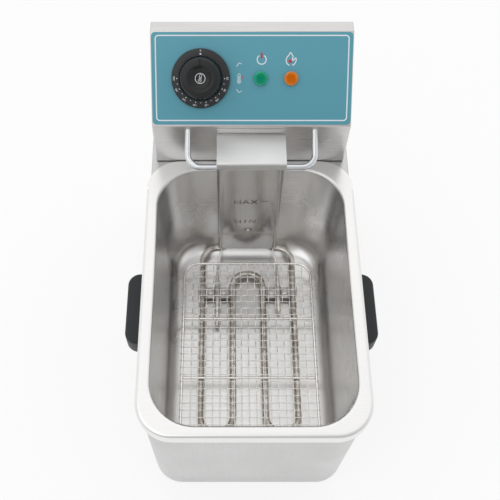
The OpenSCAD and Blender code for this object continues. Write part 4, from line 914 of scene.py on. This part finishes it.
# ---- pilot lamps
def build_lamp(name, x0, material, node_name, turn):
    """Lens with a faceted top inside a smooth rim."""
    place = control(x0)
    r, z0, top = LENS_R, FASCIA_T, FASCIA_T + LENS_H
    rim = r - 0.9
    profile = [(LENS_STEM_R, -1.0), (LENS_STEM_R, z0 - 0.05), (r - 0.2, z0), (r, z0 + 0.2),
               (r, z0 + 1.9), (r - 0.25, z0 + 2.7), (rim, z0 + 3.4)]
    step = rim / LENS_FACETS
    span = range(-LENS_FACETS, LENS_FACETS + 1)
    verts, faces, index = [], [], {}
    for i in span:
        for j in span:
            x, y = turned([(i * step, j * step)], math.radians(turn))[0]
            d = math.hypot(x, y)
            if d >= rim + step * 0.9:
                continue
            if d > rim - 0.25:
                # points near the rim are drawn onto it
                k = (rim - 0.02) / d
                x, y, h = x * k, y * k, top - 0.62
            else:
                h = top - (0.0 if (i + j) % 2 else 0.7) - 0.55 * (d / rim) ** 2
            index[i, j] = len(verts)
            verts.append(place(x, y, h))
    for i in span[:-1]:
        for j in span[:-1]:
            corners = [(i, j), (i + 1, j), (i + 1, j + 1), (i, j + 1)]
            if not all(c in index for c in corners):
                continue
            p, q, t, u = (index[c] for c in corners)
            faces += [(p, q, t), (p, t, u)] if (i + j) % 2 else [(p, q, u), (q, t, u)]
    under = loft([[place((rim + 0.02) * math.cos(t), (rim + 0.02) * math.sin(t), z0 + 3.38)
                   for t in full_turn(48)]], caps=(False, True))
    obj = make_object(name, *join_parts([lathe(profile, place, 48), (verts, faces), under]))
    finish_piece(obj, material, "head", [node_name], 12)


build_lamp("lamp_lens_green", GREEN_X, M_GREEN, "lens_green", 12)
build_lamp("lamp_lens_orange", ORANGE_X, M_ORANGE, "lens_orange", 40)


# ---- arm
def build_arm():
    r, half, box_h = ARM_R, ARM_W / 2, ARM_TOP - ARM_BOX
    section = [(-half, ARM_T)] + arc((-half + r, r), r, 180, 270, 7)
    section += [(x, 0.0) for x in np.linspace(-half + r, half - r, 9)[1:-1]]
    section += arc((half - r, r), r, 270, 360, 7) + [(half, ARM_T)]
    heights = [-ARM_DROP, -120, -100, -80, -60, -40, -20, 0, box_h, ARM_TOP - 10, ARM_TOP]
    rows = []
    for h in heights:
        row = [at(x, leg_d(h) + t, h) for x, t in section]
        # the channel's sides reach back to the head from box_h up
        ends = [at(x, HEAD_FRONT, h) for x in (-half, half)] if h >= box_h else [row[0], row[-1]]
        rows.append([ends[0]] + row + [ends[1]])
    count = len(rows[0])
    low_rows = heights.index(box_h)
    verts, faces = loft(rows, closed=False,
                        skip=lambda row, col: row < low_rows and col in (0, count - 2))
    faces.append(tuple(range(len(verts), len(verts) + count)))
    verts += rows[-1]
    leg = outward(make_object("arm_channel", verts, faces), FUSE, axis=(0, -1, 0),
                  guide=lambda f: f.calc_area() * (f.calc_center_median().z < 0.2))
    solidify(leg, SHEET)
    finish_piece(leg, M_ARM, "head", ["element_arm"], 40)

    # upstand behind the top plate
    lo, hi = at(-half, HEAD_FRONT - 1.0, ARM_TOP - 0.5), at(half, HEAD_FRONT, ARM_TOP + 8.0)
    strip = soften(outward(make_object("arm_upstand", *box_mesh(lo, hi))), 0.3)
    finish_piece(strip, M_HEAD, "head")

    # top plate with its turned-down lip
    line = rounded([(PLATE_BACK, ARM_TOP + 1), (PLATE_FRONT, ARM_TOP + 1),
                    (PLATE_FRONT, ARM_TOP + 1 - PLATE_LIP)], [2.2], lambda turn: 6)
    rows = [[at(x, d, h) for d, h in line] for x in (-half, -half / 3, half / 3, half)]
    plate = outward(make_object("arm_plate", *loft(rows, closed=False)),
                    guide=lambda f: f.calc_area() * (abs(f.normal.z) > 0.9))
    solidify(plate, SHEET)
    soften(plate, 0.22, 2, 50)
    finish_piece(plate, M_TOP, "head", ["arm_top_plate"], 40)


build_arm()


def build_rivet():
    """Domed rivet through the leg, with a painted shade ring round it: dark ink for the shade in
    the gap round its head.
    """
    h = RIVET_UP - ARM_DROP
    up = np.array([0, math.sin(DRAFT), math.cos(DRAFT)])
    out = np.array([0, -math.cos(DRAFT), math.sin(DRAFT)])

    def place(x, y, z):
        return at(x, leg_d(h), h) + up * y / 1000 + out * z / 1000

    r = RIVET_HEAD_R
    profile = [(0, -2.0), (2.7, -2.0), (2.7, -1.1), (1.6, -1.1), (1.6, 0.0), (r - 0.05, 0.0),
               (r, 0.12), (2.75, 0.2), (2.7, 0.5), (2.5, 0.8), (2.1, 1.05), (1.5, 1.21),
               (0.8, 1.28), (0.0, 1.3)]
    obj = outward(make_object("leg_rivet", *lathe(profile, place, 48)))
    finish_piece(obj, M_RAIL, "head", ["arm_rivet"], 40)
    # painted shade: a dark printed ring round the head stands for the shade in the gap round it
    painted_shade_ring = [(arc((0, 0), 3.15, 0, 355, 47), 0.75, True)]
    printed("leg_rivet_painted_shade_ring", painted_shade_ring, [], lambda x, y, z: place(x, y, 0.17 + z), M_STAMP_AND_SHADE, "head",
            0.12)


build_rivet()


def build_level_marks():
    """Two level words and a short level line, stamped into the leg's front."""
    shapes = {
        "M": [[(0, 0), (0, 1), (0.5, 0.1), (1, 1), (1, 0)]],
        "A": [[(0, 0), (0.5, 1), (1, 0)], [(0.2, 0.36), (0.8, 0.36)]],
        "X": [[(0, 0), (1, 1)], [(0, 1), (1, 0)]],
        "I": [[(0.5, 0), (0.5, 1)]],
        "N": [[(0, 0), (0, 1), (1, 0), (1, 1)]],
    }

    def on_leg(x, h, out):
        return at(x, leg_d(h) - out, h)

    for label, h, width, height in (("MAX", -38.5, 23.8, 7.0), ("MIN", -76.0, 22.0, 6.0)):
        letter, pitch = 0.27 * width, 0.365 * width
        strokes = []
        for k, sign in enumerate(label):
            x0 = MARK_X - width / 2 + k * pitch
            for line in shapes[sign]:
                points = [(x0 + u * letter, h + (v - 0.5) * height) for u, v in line]
                strokes.append((points, MARK_STROKE, False))
        if label == "MAX":
            strokes.append(([(MARK_X + 16.0, h + 1.0), (MARK_X + 24.0, h + 1.0)], 0.6, False))
        printed(f"level_mark_{label.lower()}", strokes, [], on_leg, M_STAMP_AND_SHADE, "head")


build_level_marks()


# ---- rail, element, bulbs
def build_rail():
    far_d = HEAD_FRONT + RAIL_END
    far_h = RAIL_H + (RAIL_IN_H - RAIL_H) * (far_d - RAIL_D) / (HEAD_FRONT - RAIL_D)
    points = [at(-RAIL_X, far_d, far_h), at(-RAIL_X, RAIL_D, RAIL_H), at(RAIL_X, RAIL_D, RAIL_H),
              at(RAIL_X, far_d, far_h)]
    wire = bent_rod(points, [RAIL_R, RAIL_R], 4.0, RAIL_T / 2, 24)
    obj = outward(make_object("rail_wire", *wire))
    finish_piece(obj, M_RAIL, "head", ["basket_rail"], 60)


build_rail()


def build_element():
    sweep_d = leg_d(ELEMENT_H) + IN_LEG

    def half(side):
        tail = [(TAIL_X, TAIL_BACK, TAIL_H), (TAIL_X, leg_d(TAIL_H) + IN_LEG, TAIL_H)]
        flat = [(TAIL_X, sweep_d), (1.5 * PITCH, sweep_d), (1.5 * PITCH, TURN_D),
                (0.5 * PITCH, TURN_D), (0.5 * PITCH, ARCH_D)]
        return [at(side * x, d, h) for x, d, h in tail + [(x, d, ELEMENT_H) for x, d in flat]]

    bends = [9.0, 9.0, 18.0, TURN_R, TURN_R, TURN_R]
    sheath = bent_rod(half(-1) + half(1)[::-1], bends + bends[::-1], 5.0, TUBE_T / 2, 20)
    obj = outward(make_object("heater_tube", *sheath))
    finish_piece(obj, M_SHEATH, "head", ["heating_element"], 60)


build_element()


def build_bulb(name, side, length, node_name):
    """Bulb with a round front end, drawn down to the capillary behind it."""
    points, radii = [], []
    for d, r in ((0, 0.3), (0.4, 1.3), (1.2, 2.1), (2.4, 2.5), (length - 0.1, 2.5),
                 (length + 3.0, 2.3), (length + 7.0, 1.9), (length + 12.0, 1.35),
                 (length + BULB_TAPER, 1.0)):
        points.append(at(side * BULB_X, BULB_BACK - length + d, ELEMENT_H))
        radii.append(r)
    obj = outward(make_object(name, *tube(points, radii, 20)))
    finish_piece(obj, M_BULB, "head", [node_name], 50)


build_bulb("stat_bulb_tube", -1, STAT_BULB_L, "thermostat_bulb")
build_bulb("limit_bulb_tube", 1, LIMIT_BULB_L, "limit_bulb")


def build_clamp_screws():
    """Four pan heads with cross recesses, each turned its own way."""
    profile = [(0, -3.5), (1.6, -3.5), (1.6, 0.0), (3.2, 0.0), (3.4, 0.25), (3.4, 0.9), (3.2, 1.35),
               (2.7, 1.65), (1.8, 1.8), (0, 1.8)]
    slot = oblong(-2.1, 2.1, -0.4, 0.4)
    parts, cutters = [], []
    for bulb_x, screw_x, turn in ((-1, -1, 10), (-1, 1, 65), (1, -1, 35), (1, 1, 50)):
        def place(a, b, z):
            return at(bulb_x * BULB_X + screw_x * CLAMP_SCREW_X + a, CLAMP_D + b,
                      ELEMENT_H + CLAMP_TOP + z)

        parts.append(lathe(profile, place, 40))
        for a in np.radians((turn, turn + 90)):
            cutters.append(prism(turned(slot, a), place, (0.7, 2.6)))
    obj = outward(make_object("clamp_screw_heads", *join_parts(parts)), FUSE)
    cut_out(obj, cutters)
    finish_piece(obj, M_SCREW, "head", ["clamp_screws"], 30)


build_clamp_screws()


# ---- grid
def grid_piece(name, parts, node_name, angle):
    obj = outward(make_object(name, *join_parts(parts)))
    finish_piece(obj, M_WIRE, "grid", [node_name], angle)


def build_grid():
    half, reach_d, mid = GRID_W / 2, (GRID_D1 - GRID_D0) / 2, (GRID_D0 + GRID_D1) / 2
    rim = [at(x, d, MESH_H) for x, d in rounded_plan(-half, half, GRID_D0, GRID_D1, GRID_R, 12)]
    grid_piece("grid_rim", [tube(rim, FRAME_T / 2, 16, closed=True)], "grid_frame", 60)

    bar_x = half - BAR_GAP
    bars = [tube([at(x, GRID_D0 + d, BAR_H) for x in (-bar_x, 0, bar_x)], FRAME_T / 2, 16)
            for d in (BAR_FRONT, BAR_REAR)]
    grid_piece("grid_rods", bars, "grid_bars", 60)

    def corner_cut(q, extent):
        """How far the frame's centre line has turned inward at q to the side of the middle."""
        over = max(0.0, q - (extent - GRID_R))
        return GRID_R - math.sqrt(max(0.0, GRID_R ** 2 - over ** 2))

    def woven(q, along, phase):
        """Wire that passes over and under the others and is wound round the frame at its ends."""
        run, extent = (reach_d, half) if along else (half, reach_d)
        end = run - corner_cut(abs(q), extent)
        wrap = FRAME_T / 2 + WIRE_T / 2
        hook = [(end - wrap * math.cos(t), wrap * math.sin(t))
                for t in np.radians(np.linspace(90, 330, 13))]
        steps = int(2 * (end - 2) / (WIRE_PITCH / 6))
        body = [(u, phase * 0.5 * WIRE_T * math.cos(math.pi * u / WIRE_PITCH))
                for u in np.linspace(2.4 - end, end - 2.4, steps + 1)]
        line = [(-u, v) for u, v in reversed(hook)] + body + hook
        if along:
            return [at(q, mid + u, MESH_H + v) for u, v in line]
        return [at(u, mid + q, MESH_H + v) for u, v in line]

    for name, node_name, count, along in (("grid_weave_long", "grid_long_wires", LONG_N, True),
                                          ("grid_weave_cross", "grid_cross_wires", CROSS_N, False)):
        wires = []
        for i in range(-count, count + 1):
            phase = 1 if (i % 2 == 1) == along else -1
            wires.append(tube(woven(i * WIRE_PITCH, along, phase), WIRE_T / 2, 6))
        grid_piece(name, wires, node_name, 70)


build_grid()


# ---- stage
def build_stage():
    half = FLOOR_HALF
    slab = box_mesh((-half, -half, -FLOOR_DEEP), (half, half, -0.0001))
    floor = make_object("studio_floor", *slab)
    m, tree, bsdf = new_material("floor_paint")
    set_inputs(bsdf, {"Base Color": (0.96, 0.96, 0.96, 1), "Roughness": 0.9})
    glow = tree.nodes.new("ShaderNodeEmission")
    # seen or mirrored, the floor is nearly white; it still shows the object's shadow
    rays = tree.nodes.new("ShaderNodeLightPath").outputs
    seen = combine(tree, "MAXIMUM", rays["Is Camera Ray"], rays["Is Glossy Ray"])
    seen = combine(tree, "MAXIMUM", seen, rays["Is Transmission Ray"])
    share = map_range(tree, seen, 0, 1, 0, 0.78)
    mixer = tree.nodes.new("ShaderNodeMixShader")
    output = next(n for n in tree.nodes if n.type == "OUTPUT_MATERIAL")
    link(share, mixer, "Fac")
    link(bsdf.outputs[0], mixer, 1)
    link(glow.outputs[0], mixer, 2)
    link(mixer.outputs[0], output, "Surface")
    floor.data.materials.append(m)

    world = bpy.data.worlds.new("studio")
    bpy.context.scene.world = world
    world.use_nodes = True
    sky = world.node_tree
    background = next(n for n in sky.nodes if n.type == "BACKGROUND")
    background.inputs["Strength"].default_value = 1.0
    # even studio, a little darker to the front
    coord = sky.nodes.new("ShaderNodeTexCoord")
    axes = sky.nodes.new("ShaderNodeSeparateXYZ")
    link(coord.outputs["Generated"], axes, "Vector")
    rear = map_range(sky, axes.outputs["Y"], -0.85, 0.35, 0.0, 1.0)
    colour = mix_colour(sky, rear, (0.55, 0.55, 0.56), (0.98, 0.98, 0.98))
    link(colour, background, "Color")

    def lamp(name, azimuth, elevation, distance, size, level):
        """Soft box of an even level, aimed at the object."""
        data = bpy.data.lights.new(name, "AREA")
        data.shape = "SQUARE"
        data.size = size
        data.energy = level * math.pi * size * size
        obj = add_object(name, data)
        a, e = math.radians(azimuth), math.radians(elevation)
        place = Vector((math.sin(a) * math.cos(e), -math.cos(a) * math.cos(e), math.sin(e)))
        place *= distance
        obj.location = place + Vector((0, 0, LAMP_AIM_Z))
        obj.rotation_euler = (-place).to_track_quat("-Z", "Y").to_euler()

    lamp("rear_box", 180, 62, 2.6, 3.0, 0.15)
    lamp("key_box", -50, 55, 2.4, 2.2, 0.55)


build_stage()

camera_data = bpy.data.cameras.new("camera")
camera_data.sensor_width = 36.0
camera_data.lens = CAMERA_LENS
camera_data.shift_x = CAMERA_SHIFT
camera_data.clip_start = 0.02
camera = add_object("camera", camera_data)
camera.location = CAMERA_AT
camera.rotation_euler = (math.radians(CAMERA_TILT), 0, 0)
bpy.context.scene.camera = camera
bpy.context.scene.view_settings.view_transform = "Standard"
